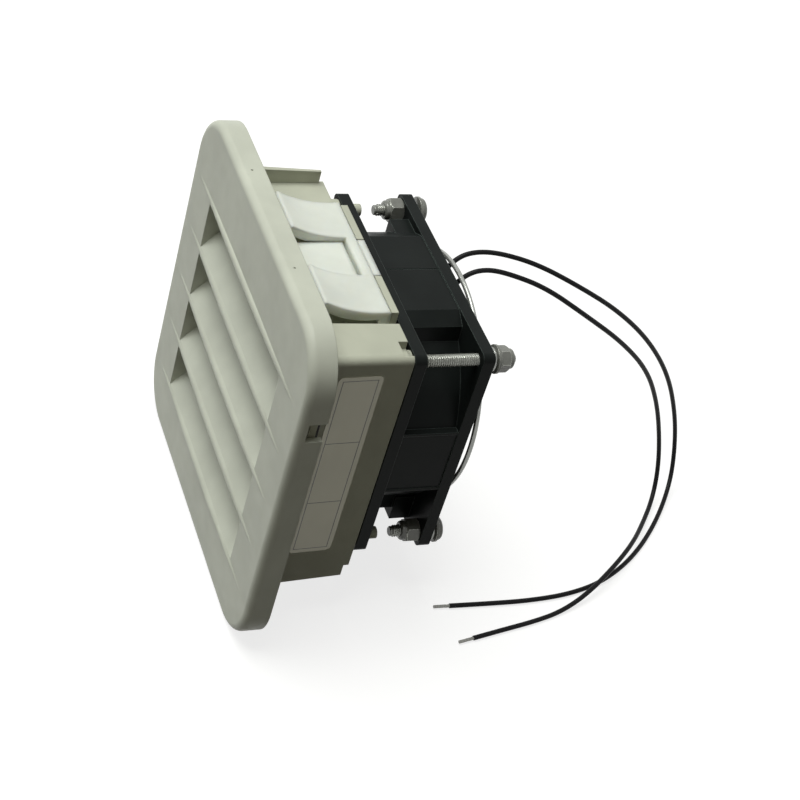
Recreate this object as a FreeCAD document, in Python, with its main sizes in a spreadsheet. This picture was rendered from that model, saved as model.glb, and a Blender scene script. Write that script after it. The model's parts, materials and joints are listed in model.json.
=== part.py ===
import FreeCAD, Part
import math
import os
from types import SimpleNamespace

import Sketcher
from FreeCAD import Rotation, Vector

# A filter fan for a switch cabinet: a louvred cover, a base frame that snaps into a square panel
# cut-out, a filter mat and an axial fan behind them with its finger guard and two supply leads.
# X points right seen from the front, Y points into the cabinet, Z points up.  The panel's front
# face is the plane y = 0 and the cut-out's centre is the origin.

DIMENSIONS = (
    ("plate_size", 120.0, "cover, width and height"),
    ("plate_corner", 17.5, "cover, corner radius seen from the front"),
    ("plate_depth", 8.0, "cover, depth from the panel to its face"),
    ("plate_edge", 2.4, "cover, rounding of the front edge"),
    ("face_wall", 2.2, "cover, wall of the face"),
    ("rim_wall", 2.0, "cover, wall of the rim"),
    ("louvre_count", 4, "cover, number of louvre openings"),
    ("louvre_pitch", 19.2, "cover, distance from louvre to louvre"),
    ("louvre_height", 16.6, "cover, height of one opening in the face"),
    ("louvre_length", 79.0, "cover, length of one opening"),
    ("louvre_top", 35.0, "cover, upper edge of the top opening above the centre"),
    ("slat_back", 0.8, "cover, distance of the slats' back edge from the panel plane"),
    ("slat_rise", 7.3, "cover, rise of a slat from its front edge to its back edge"),
    ("slat_tip", 2.0, "cover, height of a slat's back edge"),
    ("slat_bow", 0.5, "cover, hollow of a slat's upper side"),
    ("rib_wall", 1.6, "cover, wall that closes the openings at each end"),
    ("ridge_radius", 1.9, "cover, rounding of the slats' noses"),
    ("ridge_proud", 0.8, "cover, how far a nose stands out of the face at its middle"),
    ("ridge_length", 106.0, "cover, length over which a nose runs out into the face"),
    ("ridge_lift", 1.3, "cover, nose axis above the upper edge of the opening"),
    ("pry_low", 29.0, "cover, lower end of the pry notch"),
    ("pry_length", 6.5, "cover, length of the pry notch"),
    ("pry_depth", 2.0, "cover, depth of the pry notch"),
    ("gate_spread", 45.4, "cover, distance between the two gate marks on the top rim"),
    ("gate_radius", 0.35, "cover, radius of a gate mark"),
    ("cover_gap", 0.4, "clearance of the cover around the base frame's flange"),
    ("gasket_wall", 1.5, "gasket, thickness"),
    ("gasket_inset", 1.3, "gasket, how far its edge lies inside the flange's edge"),
    ("gasket_gap", 0.8, "gasket, clearance around the spigot"),
    ("gasket_corner", 1.5, "gasket, corner radius of its opening"),
    ("flange_wall", 2.2, "base frame, thickness of the flange"),
    ("spigot_size", 91.0, "base frame, width and height of the spigot at the panel"),
    ("spigot_depth", 29.2, "base frame, depth of the spigot behind the panel"),
    ("spigot_draft", 1.0, "base frame, how far each side leans in over its depth"),
    ("spigot_wall", 1.8, "base frame, wall of the spigot"),
    ("spigot_edge", 2.2, "base frame, rounding of the shoulders' long edges"),
    ("channel_depth", 5.3, "base frame, depth of the latch channels at the panel"),
    ("channel_rib", 0.9, "base frame, rib left beside a latch channel at the rear"),
    ("rib_short", 1.7, "base frame, how far that rib ends before the spigot's rear"),
    ("shoulder_place", 29.2, "base frame, start of the shoulder on a channel's other side"),
    ("shoulder_wall", 3.6, "base frame, wall above the hollow in a shoulder"),
    ("notch_place", 37.0, "base frame, start of the notch in a shoulder's rear edge"),
    ("notch_width", 6.0, "base frame, width of that notch"),
    ("notch_depth", 2.6, "base frame, depth of that notch"),
    ("notch_length", 3.0, "base frame, length of that notch along Y"),
    ("ledge_length", 50.8, "base frame, length of the wall behind a latch"),
    ("ledge_wall", 2.2, "base frame, thickness of the wall behind a latch"),
    ("ledge_height", 5.2, "base frame, height of the wall behind a latch"),
    ("ledge_out", 1.0, "base frame, how far that wall stands out behind the spigot"),
    ("slit_width", 0.4, "base frame, slit between that wall and the latch's tab"),
    ("rebate_depth", 1.2, "base frame, depth of the rebate in front of the filter's opening"),
    ("rebate_width", 1.0, "base frame, width of that rebate above and below the opening"),
    ("seat_place", 9.0, "base frame, place of the filter seat behind the panel"),
    ("seat_wall", 1.5, "base frame, thickness of the filter seat"),
    ("seat_width", 2.6, "base frame, width of the filter seat"),
    ("rear_wall", 2.0, "base frame, thickness of the rear wall"),
    ("boss_radius", 3.4, "base frame, radius of the fan bosses"),
    ("boss_height", 3.0, "base frame, height of the fan bosses"),
    ("peg_gap", 0.25, "base frame, clearance of a locating peg in the fan's hole"),
    ("peg_length", 3.8, "base frame, length of a peg behind the fan's flange"),
    ("mat_gap", 0.4, "filter mat, clearance to the slats and to the seat"),
    ("mat_side", 0.5, "filter mat, clearance to the spigot"),
    ("latch_width", 52.0, "latch, width over both tongues"),
    ("tongue_width", 17.2, "latch, width of one tongue"),
    ("tongue_tip", 6.0, "latch, place of the tongue's tip behind the panel"),
    ("tongue_lift", 10.4, "latch, height of the tongue's tip above the channel floor"),
    ("tongue_wall", 2.6, "latch, thickness of a tongue"),
    ("tongue_bow", 1.6, "latch, hollow of a tongue"),
    ("tongue_edge", 0.8, "latch, rounding of the tongues' tips"),
    ("bar_height", 5.8, "latch, height of the bar above the channel floor"),
    ("bar_radius", 1.7, "latch, rounding of the bar's foot"),
    ("bar_edge", 0.8, "latch, rounding of the bar's upper edges"),
    ("latch_gap", 0.3, "latch, clearance to the floor and to the wall behind"),
    ("latch_wall", 1.0, "latch, thickness of the base under the bar"),
    ("latch_start", 6.0, "latch, front edge of the base"),
    ("block_height", 4.3, "latch, height of the block between the tongues"),
    ("tab_width", 16.6, "latch, width of the block and of the tab behind it"),
    ("sticker_low", -32.0, "sticker, lower end"),
    ("sticker_length", 71.0, "sticker, length"),
    ("sticker_start", 7.2, "sticker, edge nearest to the panel"),
    ("sticker_width", 13.8, "sticker, width"),
    ("sticker_wall", 0.15, "sticker, thickness"),
    ("sticker_corner", 1.6, "sticker, corner radius"),
    ("fan_size", 80.0, "fan, width and height"),
    ("fan_depth", 25.4, "fan, depth"),
    ("fan_corner", 2.2, "fan, corner radius of the flanges"),
    ("fan_flange", 3.8, "fan, thickness of a flange"),
    ("hole_pitch", 71.5, "fan, distance between the mounting holes"),
    ("hole_radius", 2.2, "fan, radius of the mounting holes"),
    ("barrel_inset", 0.9, "fan, barrel inside the flange's edge"),
    ("barrel_wall", 1.2, "fan, wall of the barrel"),
    ("panel_inset", 0.4, "fan, panels inside the flange's edge"),
    ("panel_flat", 17.5, "fan, half width of the flat part of the top and bottom panel"),
    ("panel_near", 22.4, "fan, short rounded end of such a panel"),
    ("panel_near_height", 37.0, "fan, height of that end above the axis"),
    ("panel_far", 28.2, "fan, long rounded end of such a panel"),
    ("panel_far_height", 32.9, "fan, height of that end above the axis"),
    ("panel_bow", 0.46, "fan, rise of the long rounded end"),
    ("seam_place", 1.5, "fan, parting line beside the middle of such a panel"),
    ("seam_width", 0.4, "fan, width and depth of the parting line"),
    ("side_low", 13.7, "fan, lower end of the right panel below the axis"),
    ("side_high", 10.3, "fan, upper end of the right panel above the axis"),
    ("side_rib", 0.9, "fan, width of the ribs that end the side panels"),
    ("side_rib_proud", 0.3, "fan, height of those ribs"),
    ("gusset_near", 20.0, "fan, inner side of the two corner gussets"),
    ("gusset_far", 28.9, "fan, outer side of the corner gussets"),
    ("gusset_low", 28.0, "fan, start of the gussets above the axis"),
    ("gusset_high", 37.4, "fan, end of the gussets above the axis"),
    ("gusset_depth", 6.6, "fan, depth of the corner gussets"),
    ("base_radius", 21.5, "motor base, radius"),
    ("base_wall", 3.0, "motor base, thickness"),
    ("strut_width", 4.4, "motor base, width of a strut"),
    ("tube_radius", 4.8, "bearing tube, outer radius"),
    ("bearing_radius", 4.0, "bearings, outer radius"),
    ("bearing_width", 3.0, "bearings, width"),
    ("bearing_spread", 12.0, "bearings, distance between their middles"),
    ("shaft_radius", 1.5, "shaft, radius"),
    ("running_gap", 0.08, "clearance of the shaft in its bearings"),
    ("fit_gap", 0.05, "clearance of pieces that are pushed into each other"),
    ("hub_radius", 20.0, "impeller, radius of the hub"),
    ("hub_wall", 1.6, "impeller, wall of the hub"),
    ("hub_start", 1.4, "impeller, hub behind the fan's front face"),
    ("hub_gap", 1.0, "impeller, gap between the hub and the motor base"),
    ("blade_count", 7, "impeller, number of blades"),
    ("blade_wall", 1.5, "impeller, thickness of a blade"),
    ("blade_bow", 2.2, "impeller, hollow of a blade"),
    ("root_chord", 15.0, "impeller, width of a blade at the hub"),
    ("root_depth", 14.0, "impeller, depth of a blade at the hub"),
    ("tip_chord", 28.0, "impeller, width of a blade at its tip"),
    ("tip_depth", 10.0, "impeller, depth of a blade at its tip"),
    ("tip_gap", 0.8, "impeller, gap between the blades and the barrel"),
    ("rotor_wall", 3.0, "rotor, wall of the ring"),
    ("rotor_plate", 1.8, "rotor, thickness of the end plate"),
    ("stator_gap", 0.6, "stator, air gap to the rotor"),
    ("stator_stack", 9.0, "stator, height of the stack"),
    ("slot_count", 4, "stator, number of winding slots"),
    ("slot_width", 5.0, "stator, width of a winding slot"),
    ("slot_depth", 5.0, "stator, depth of a winding slot"),
    ("coil_overhang", 1.6, "stator, how far the coils stand out of the stack"),
    ("washer_wall", 0.4, "preload washer, height"),
    ("clip_wall", 0.8, "retaining ring, thickness"),
    ("clip_radius", 2.6, "retaining ring, outer radius"),
    ("wire_radius", 0.8, "finger guard, radius of the wire"),
    ("weld_gap", 0.03, "finger guard, film between a ring and an arm"),
    ("guard_rise", 3.0, "finger guard, height of the ring plane above the fan"),
    ("guard_count", 4, "finger guard, number of rings"),
    ("guard_inner", 10.0, "finger guard, radius of the inner ring"),
    ("guard_inset", 1.5, "finger guard, outer ring inside the fan's edge"),
    ("screw_radius", 1.95, "fasteners, radius of the thread"),
    ("screw_gap", 0.15, "fasteners, clearance of nuts and washers on the thread"),
    ("washer_radius", 4.4, "fasteners, outer radius of a washer"),
    ("washer_height", 0.9, "fasteners, thickness of a washer"),
    ("nut_flats", 7.0, "fasteners, width of a nut across its flats"),
    ("nut_height", 3.4, "fasteners, height of a nut's hexagon"),
    ("collar_radius", 3.1, "fasteners, radius of a nut's locking collar"),
    ("collar_height", 1.6, "fasteners, height of a nut's locking collar"),
    ("bolt_head", 2.8, "long bolts, height of the head"),
    ("bolt_end", 0.8, "long bolts, thread behind the nut"),
    ("pan_radius", 3.9, "guard screws, radius of the head"),
    ("pan_height", 1.7, "guard screws, height of the head"),
    ("high_nut_height", 4.4, "guard screws, height of a nut's hexagon"),
    ("screw_end", 3.4, "guard screws, thread in front of the nut"),
    ("grommet_low", 20.4, "lead grommet, lower side above the axis"),
    ("grommet_height", 3.1, "lead grommet, height"),
    ("grommet_left", -7.4, "lead grommet, left side"),
    ("grommet_width", 10.4, "lead grommet, width"),
    ("lead_radius", 0.8, "leads, radius over the insulation"),
    ("core_radius", 0.55, "leads, radius of the tinned ends"),
    ("core_length", 5.5, "leads, length of the tinned ends"),
)

# Route points of the two leads, from the grommet to the bared ends.
LEAD_ROUTES = {
    "lead_a": (
        (-4.6, 56.7, 23.5), (-5.6, 56.8, 28.2), (-7.2, 58.6, 32.7), (-8.6, 63.2, 35.7),
        (-9.2, 69.5, 37.8), (-8.0, 77.5, 39.8), (-4.0, 89.0, 39.2), (0.1, 104.1, 33.0),
        (0.0, 121.2, 23.0), (-1.3, 138.5, 9.0), (-3.3, 154.1, -9.0), (-5.0, 165.5, -29.0),
        (-4.0, 171.6, -46.0), (3.1, 170.4, -57.0), (18.9, 158.1, -59.2), (33.8, 142.5, -59.2),
        (43.7, 126.4, -59.2), (48.0, 111.6, -59.2), (49.3, 96.2, -59.2), (49.1, 81.7, -59.2),
        (48.6, 67.4, -59.2),
    ),
    "lead_b": (
        (0.2, 56.7, 23.5), (0.4, 56.8, 28.2), (0.3, 58.6, 32.7), (0.0, 63.2, 35.9),
        (-0.3, 69.3, 37.8), (1.2, 76.3, 38.9), (4.9, 88.7, 36.0), (7.0, 105.0, 27.0),
        (6.6, 123.0, 15.0), (4.1, 139.1, 0.0), (0.9, 151.2, -18.0), (0.0, 159.5, -36.0),
        (2.5, 163.1, -50.0), (9.4, 160.4, -58.0), (21.5, 150.5, -57.2), (32.5, 140.5, -54.3),
        (42.0, 129.2, -54.3), (50.3, 116.5, -57.2), (55.3, 105.0, -59.2), (58.3, 93.5, -59.2),
        (60.4, 82.0, -59.2), (62.6, 70.8, -59.2),
    ),
}
# Share of the shorter run that an arc of a lead takes up.
ARC_SHARE = 0.45
# How far a cutting tool passes beyond the face it cuts through.
PAST = 1.0
# Two solids that are fused reach this far into each other.
SUNK = 0.4
ALONG_Y = Rotation(Vector(1, 0, 0), -90)
# Flattening of an arm's end where it is welded to its loop.
FOOT_SHARE = 0.94
# Height of a latch tongue's tip, which is cut upright, against its wall.
TIP_SHARE = 1.25
# Turns the seams of the guard's rings away from its arms.
RING_TURN = Rotation(Vector(0, 1, 0), 20) * ALONG_Y


class Size:
    """A length that keeps its number together with the sheet formula that gives it."""

    def __init__(self, value, formula):
        self.value = value
        self.formula = formula

    def __add__(self, other):
        other = as_size(other)
        return Size(self.value + other.value, "(%s + %s)" % (self.formula, other.formula))

    def __sub__(self, other):
        other = as_size(other)
        return Size(self.value - other.value, "(%s - %s)" % (self.formula, other.formula))

    def __mul__(self, other):
        other = as_size(other)
        return Size(self.value * other.value, "(%s * %s)" % (self.formula, other.formula))

    def __truediv__(self, other):
        other = as_size(other)
        return Size(self.value / other.value, "(%s / %s)" % (self.formula, other.formula))

    def __neg__(self):
        return Size(-self.value, "(-1 * %s)" % self.formula)

    def __radd__(self, other):
        return as_size(other) + self

    def __rsub__(self, other):
        return as_size(other) - self

    def __rmul__(self, other):
        return as_size(other) * self


def as_size(number):
    """Returns the number as a Size, unless it is one already."""
    return number if isinstance(number, Size) else Size(float(number), repr(float(number)))


doc = FreeCAD.newDocument("filter_fan")
sheet = doc.addObject("Spreadsheet::Sheet", "Sizes")
for row, (alias, number, meaning) in enumerate(DIMENSIONS, start=1):
    sheet.set("A%d" % row, alias)
    sheet.set("B%d" % row, str(number))
    sheet.set("C%d" % row, meaning)
    sheet.setAlias("B%d" % row, alias)
doc.recompute()
S = SimpleNamespace(**{alias: Size(float(number), "Sizes." + alias) for alias, number, _ in DIMENSIONS})
ZERO = as_size(0)
subparts = []


# Places that several pieces share.

plate_half = S.plate_size / 2
lip = S.louvre_pitch - S.louvre_height
flange_half = plate_half - S.rim_wall - S.cover_gap
spigot_half = S.spigot_size / 2
spigot_rear = spigot_half - S.spigot_draft
floor = spigot_half - S.channel_depth
channel_half = spigot_rear - S.channel_rib
inner_height = floor - S.spigot_wall
fan_front = S.spigot_depth + S.boss_height
fan_rear = fan_front + S.fan_depth
fan_half = S.fan_size / 2
hole = S.hole_pitch / 2
barrel_radius = fan_half - S.barrel_inset
bore_radius = barrel_radius - S.barrel_wall
base_front = fan_rear - S.base_wall
hub_front = fan_front + S.hub_start
hub_rear = base_front - S.hub_gap
rotor_radius = S.hub_radius - S.hub_wall - S.fit_gap
plate_rear = hub_front + S.hub_wall + S.rotor_plate
stator_radius = rotor_radius - S.rotor_wall - S.stator_gap
bearing_middle = (plate_rear + base_front) / 2
front_bearing = bearing_middle - S.bearing_spread / 2 - S.bearing_width / 2
rear_bearing = bearing_middle + S.bearing_spread / 2 - S.bearing_width / 2
tube_front = front_bearing - S.fit_gap
stator_front = bearing_middle - S.stator_stack / 2
loop_rear = fan_rear + S.wire_radius * 2
ring_plane = fan_rear + S.guard_rise
guard_outer = fan_half - S.guard_inset
ledge_rear = S.spigot_depth + S.ledge_out
ledge_front = ledge_rear - S.ledge_wall
ledge_top = floor + S.ledge_height
bar_rear = ledge_front - S.latch_gap
axis_place = bar_rear - S.bar_radius
axis_height = floor + S.latch_gap + S.bar_radius
BOLT_CORNERS = ((1, 1), (-1, -1))
SCREW_CORNERS = ((-1, 1), (1, -1))
ALL_CORNERS = BOLT_CORNERS + SCREW_CORNERS


# Helpers for sketches, bodies and primitives.

def in_order(*places):
    """Sorts places, the lowest first."""
    return sorted(places, key=lambda place: place.value)


def bind(item, path, size):
    """Ties a property of an object to the sheet."""
    item.setExpression(path, as_size(size).formula)


def new_body(name):
    """Starts an empty body."""
    body = doc.addObject("PartDesign::Body", name)
    body.Label = name
    return body


def origin_feature(body, role):
    """Returns the body's own origin plane or axis with that role."""
    return next(item for item in body.Origin.OriginFeatures if item.Role == role)


def new_sketch(body, plane, place):
    """Starts a sketch parallel to an origin plane: at y = place on XZ, x on YZ, z on XY."""
    sketch = body.newObject("Sketcher::SketchObject", "outline")
    sketch.AttachmentSupport = [(origin_feature(body, plane + "_Plane"), "")]
    sketch.MapMode = "FlatFace"
    place = as_size(place)
    bind(sketch, "AttachmentOffset.Base.z", -place if plane == "XZ" else place)
    return sketch


def hold(sketch, curve, point, u, v):
    """Holds a point of a curve at (u, v) with two distances from the sketch's origin."""
    for kind, size in (("DistanceX", as_size(u)), ("DistanceY", as_size(v))):
        index = sketch.addConstraint(Sketcher.Constraint(kind, -1, 1, curve, point, size.value))
        bind(sketch, "Constraints[%d]" % index, size)


def outline(sketch, corners):
    """Draws a closed outline.

    Each corner is (u, v) or (u, v, bow), where bow is how far the side that follows bulges to
    the left of the way the outline runs.
    """
    corners = [tuple(as_size(number) for number in corner) for corner in corners]
    sides = []
    for index, corner in enumerate(corners):
        following = corners[(index + 1) % len(corners)]
        start = Vector(corner[0].value, corner[1].value, 0)
        stop = Vector(following[0].value, following[1].value, 0)
        if len(corner) == 2:
            curve = sketch.addGeometry(Part.LineSegment(start, stop), False)
            sides.append((curve, 1, 2))
            continue
        across = following[0] - corner[0]
        along = following[1] - corner[1]
        bow = corner[2]
        size = bow if bow.value > 0 else -bow
        radius = ((across * across + along * along) / 4 + size * size) / (size * 2)
        left = Vector(-along.value, across.value, 0).normalize()
        turn = 1 if bow.value > 0 else -1
        centre = (start + stop) / 2 + left * (bow.value - turn * radius.value)
        first, last = (stop, start) if bow.value > 0 else (start, stop)
        low = math.atan2(first.y - centre.y, first.x - centre.x)
        high = math.atan2(last.y - centre.y, last.x - centre.x)
        high = high if high > low else high + 2 * math.pi
        circle_curve = Part.Circle(centre, Vector(0, 0, 1), radius.value)
        curve = sketch.addGeometry(Part.ArcOfCircle(circle_curve, low, high), False)
        index = sketch.addConstraint(Sketcher.Constraint("Radius", curve, radius.value))
        bind(sketch, "Constraints[%d]" % index, radius)
        sides.append((curve, 2, 1) if bow.value > 0 else (curve, 1, 2))
    for index, (curve, first, last) in enumerate(sides):
        after, after_first, _ = sides[(index + 1) % len(sides)]
        sketch.addConstraint(Sketcher.Constraint("Coincident", curve, last, after, after_first))
        hold(sketch, curve, first, corners[index][0], corners[index][1])


def rectangle(sketch, left, right, low, high):
    """Draws a rectangle between two abscissas and two heights."""
    outline(sketch, ((left, low), (right, low), (right, high), (left, high)))


def rounded_square(sketch, half, radius):
    """Draws a square about the axis with rounded corners."""
    bow = -radius * (1 - math.sqrt(0.5))
    run = half - radius
    outline(sketch, (
        (-run, -half), (run, -half, bow), (half, -run), (half, run, bow),
        (run, half), (-run, half, bow), (-half, run), (-half, -run, bow),
    ))


def circle(sketch, u, v, radius):
    """Draws a circle about (u, v)."""
    u, v, radius = as_size(u), as_size(v), as_size(radius)
    centre = Vector(u.value, v.value, 0)
    curve = sketch.addGeometry(Part.Circle(centre, Vector(0, 0, 1), radius.value), False)
    hold(sketch, curve, 3, u, v)
    index = sketch.addConstraint(Sketcher.Constraint("Radius", curve, radius.value))
    bind(sketch, "Constraints[%d]" % index, radius)


def pad(body, sketch, length, backwards=False):
    """Pads a sketch along its plane's normal, or against it."""
    feature = body.newObject("PartDesign::Pad", "pad")
    feature.Profile = sketch
    feature.Reversed = backwards
    bind(feature, "Length", length)
    return feature


def pocket(body, sketch, length, along_normal=False):
    """Cuts a sketch against its plane's normal, or along it."""
    feature = body.newObject("PartDesign::Pocket", "pocket")
    feature.Profile = sketch
    feature.Reversed = along_normal
    bind(feature, "Length", length)
    return feature


def pad_deep(body, front, rear, draw):
    """Pads what draw(sketch) draws on the XZ plane from y = front to y = rear."""
    sketch = new_sketch(body, "XZ", front)
    draw(sketch)
    return pad(body, sketch, as_size(rear) - front, backwards=True)


def cut_deep(body, front, rear, draw):
    """Cuts what draw(sketch) draws on the XZ plane from y = front to y = rear."""
    sketch = new_sketch(body, "XZ", front)
    draw(sketch)
    return pocket(body, sketch, as_size(rear) - front)


def loft(body, kind, sections):
    """Lofts a body from one section sketch to the next."""
    feature = body.newObject("PartDesign::%sLoft" % kind, "loft")
    feature.Profile = sections[0]
    feature.Sections = sections[1:]
    feature.Ruled = True
    return feature


def revolve(body, corners):
    """Turns an outline of (y, radius) corners about the fan's axis."""
    sketch = new_sketch(body, "YZ", 0)
    outline(sketch, corners)
    feature = body.newObject("PartDesign::Revolution", "turned")
    feature.Profile = sketch
    feature.ReferenceAxis = (sketch, ["H_Axis"])
    feature.Angle = 360
    return feature


def pattern_down(body, feature, pitch, count):
    """Repeats a feature downwards."""
    row = body.newObject("PartDesign::LinearPattern", "row")
    row.Originals = [feature]
    row.Direction = (origin_feature(body, "Z_Axis"), [""])
    row.Reversed = True
    bind(row, "Length", pitch * (count - 1))
    bind(row, "Occurrences", count)
    body.Tip = row
    return row


def pattern_round(body, feature, count):
    """Repeats a feature about the fan's axis."""
    ring = body.newObject("PartDesign::PolarPattern", "ring")
    ring.Originals = [feature]
    ring.Axis = (origin_feature(body, "Y_Axis"), [""])
    ring.Angle = 360
    bind(ring, "Occurrences", count)
    body.Tip = ring
    return ring


def edges_where(feature, test):
    """Names the edges of a feature's shape that pass a test."""
    doc.recompute()
    return ["Edge%d" % i for i, edge in enumerate(feature.Shape.Edges, start=1) if test(edge)]


def round_edges(body, feature, test, radius):
    """Rounds the edges of a feature that pass a test."""
    names = edges_where(feature, test)
    blend = body.newObject("PartDesign::Fillet", "rounding")
    blend.Base = (feature, names)
    bind(blend, "Radius", radius)
    return blend


def runs_along_y(edge):
    """Tells whether an edge is straight and parallel to Y, apart from a draft."""
    ends = edge.firstVertex().Point - edge.lastVertex().Point
    return abs(ends.y) > 0.99 * edge.Length


def at_corner(edge, half_x, half_z, reach=0.6):
    """Tells whether an edge's middle lies at a corner of a rectangle about the axis."""
    middle = edge.BoundBox.Center
    near_x = abs(abs(middle.x) - half_x.value) < reach
    return near_x and abs(abs(middle.z) - half_z.value) < reach


def finish(item, name):
    """Gives a finished sub-part its name and lists it for export."""
    item.Label = name
    subparts.append(item)
    return item


def rod(name, x, z, front, rear, radius):
    """Makes a cylinder along Y."""
    item = doc.addObject("Part::Cylinder", name)
    item.Placement = FreeCAD.Placement(Vector(), ALONG_Y)
    bind(item, "Radius", radius)
    bind(item, "Height", as_size(rear) - front)
    for letter, size in (("x", x), ("y", front), ("z", z)):
        bind(item, "Placement.Base." + letter, size)
    return item


def hexagon(name, x, z, front, rear, flats):
    """Makes a hexagonal prism along Y."""
    item = doc.addObject("Part::Prism", name)
    item.Placement = FreeCAD.Placement(Vector(), ALONG_Y)
    item.Polygon = 6
    bind(item, "Circumradius", flats / math.sqrt(3))
    bind(item, "Height", as_size(rear) - front)
    for letter, size in (("x", x), ("y", front), ("z", z)):
        bind(item, "Placement.Base." + letter, size)
    return item


def fuse(name, items):
    """Joins overlapping solids."""
    item = doc.addObject("Part::MultiFuse", name)
    item.Shapes = items
    return item


def cut(name, base, tool):
    """Cuts one solid with another."""
    item = doc.addObject("Part::Cut", name)
    item.Base = base
    item.Tool = tool
    return item


def group(name, items):
    """Keeps separate solids together as one sub-part."""
    item = doc.addObject("Part::Compound", name)
    item.Links = items
    return finish(item, name)


# The louvred cover.

def make_cover():
    """Builds the cover: a hollow plate with round-nosed louvres and a rim around the flange."""
    body = new_body("cover_body")
    face = -S.plate_depth

    def plate_outline(sketch):
        rectangle(sketch, -plate_half, plate_half, -plate_half, plate_half)

    block = pad_deep(body, face, 0, plate_outline)
    rounded = round_edges(body, block, runs_along_y, S.plate_corner)

    def on_face(edge):
        return edge.BoundBox.YMax < face.value + 0.01

    round_edges(body, rounded, on_face, S.plate_edge)
    hollow_half = plate_half - S.rim_wall

    cut_deep(body, face + S.face_wall, 0,
             lambda s: rounded_square(s, hollow_half, S.plate_corner - S.rim_wall))

    end = S.louvre_length / 2
    sill = S.louvre_top - S.louvre_height

    def window_outline(sketch):
        rectangle(sketch, -end, end, sill, S.louvre_top)

    window = cut_deep(body, face, face + S.face_wall, window_outline)
    pattern_down(body, window, S.louvre_pitch, S.louvre_count)

    low = sill + S.ridge_lift - S.louvre_pitch * (S.louvre_count - 1)

    def rib_outlines(sketch):
        rectangle(sketch, end, end + S.rib_wall, low, S.louvre_top)
        rectangle(sketch, -end - S.rib_wall, -end, low, S.louvre_top)

    pad_deep(body, face + S.face_wall / 2, -S.slat_back, rib_outlines)

    sketch = new_sketch(body, "YZ", -end - S.rib_wall / 2)
    back = sill + S.slat_rise
    outline(sketch, (
        (face, sill - lip),
        (face + S.face_wall, sill - lip),
        (-S.slat_back, back - S.slat_tip),
        (-S.slat_back, back, -S.slat_bow),
        (face, sill),
    ))
    slat = pad(body, sketch, S.louvre_length + S.rib_wall)
    pattern_down(body, slat, S.louvre_pitch, S.louvre_count)

    def pry_outline(sketch):
        rectangle(sketch, hollow_half - PAST, plate_half + PAST, S.pry_low, S.pry_low + S.pry_length)

    cut_deep(body, -S.pry_depth, 0, pry_outline)
    sketch = new_sketch(body, "XY", plate_half)
    for side in (-1, 1):
        circle(sketch, S.gate_spread / 2 * side, face / 2, S.gate_radius)
    pocket(body, sketch, S.gate_radius)

    bend = S.ridge_length * S.ridge_length / (S.ridge_proud * 8)
    ridges = []
    for index in range(int(S.louvre_count.value) + 1):
        ridge = doc.addObject("Part::Torus", "ridge")
        half_sweep = "asin(%s / %s)" % ((S.ridge_length / 2).formula, bend.formula)
        ridge.Placement = FreeCAD.Placement(Vector(), Rotation(Vector(0, 0, 1), -90))
        bind(ridge, "Radius1", bend)
        bind(ridge, "Radius2", S.ridge_radius)
        ridge.setExpression("Angle3", "2 * " + half_sweep)
        ridge.setExpression("Placement.Rotation.Yaw", "-90 deg - " + half_sweep)
        bind(ridge, "Placement.Base.y", face - S.ridge_proud + S.ridge_radius + bend)
        bind(ridge, "Placement.Base.z", S.louvre_top + S.ridge_lift - S.louvre_pitch * index)
        ridges.append(ridge)
    finish(fuse("cover_grille", [body] + ridges), "cover_grille")


# The base frame, its gasket, filter mat and sticker.

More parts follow.
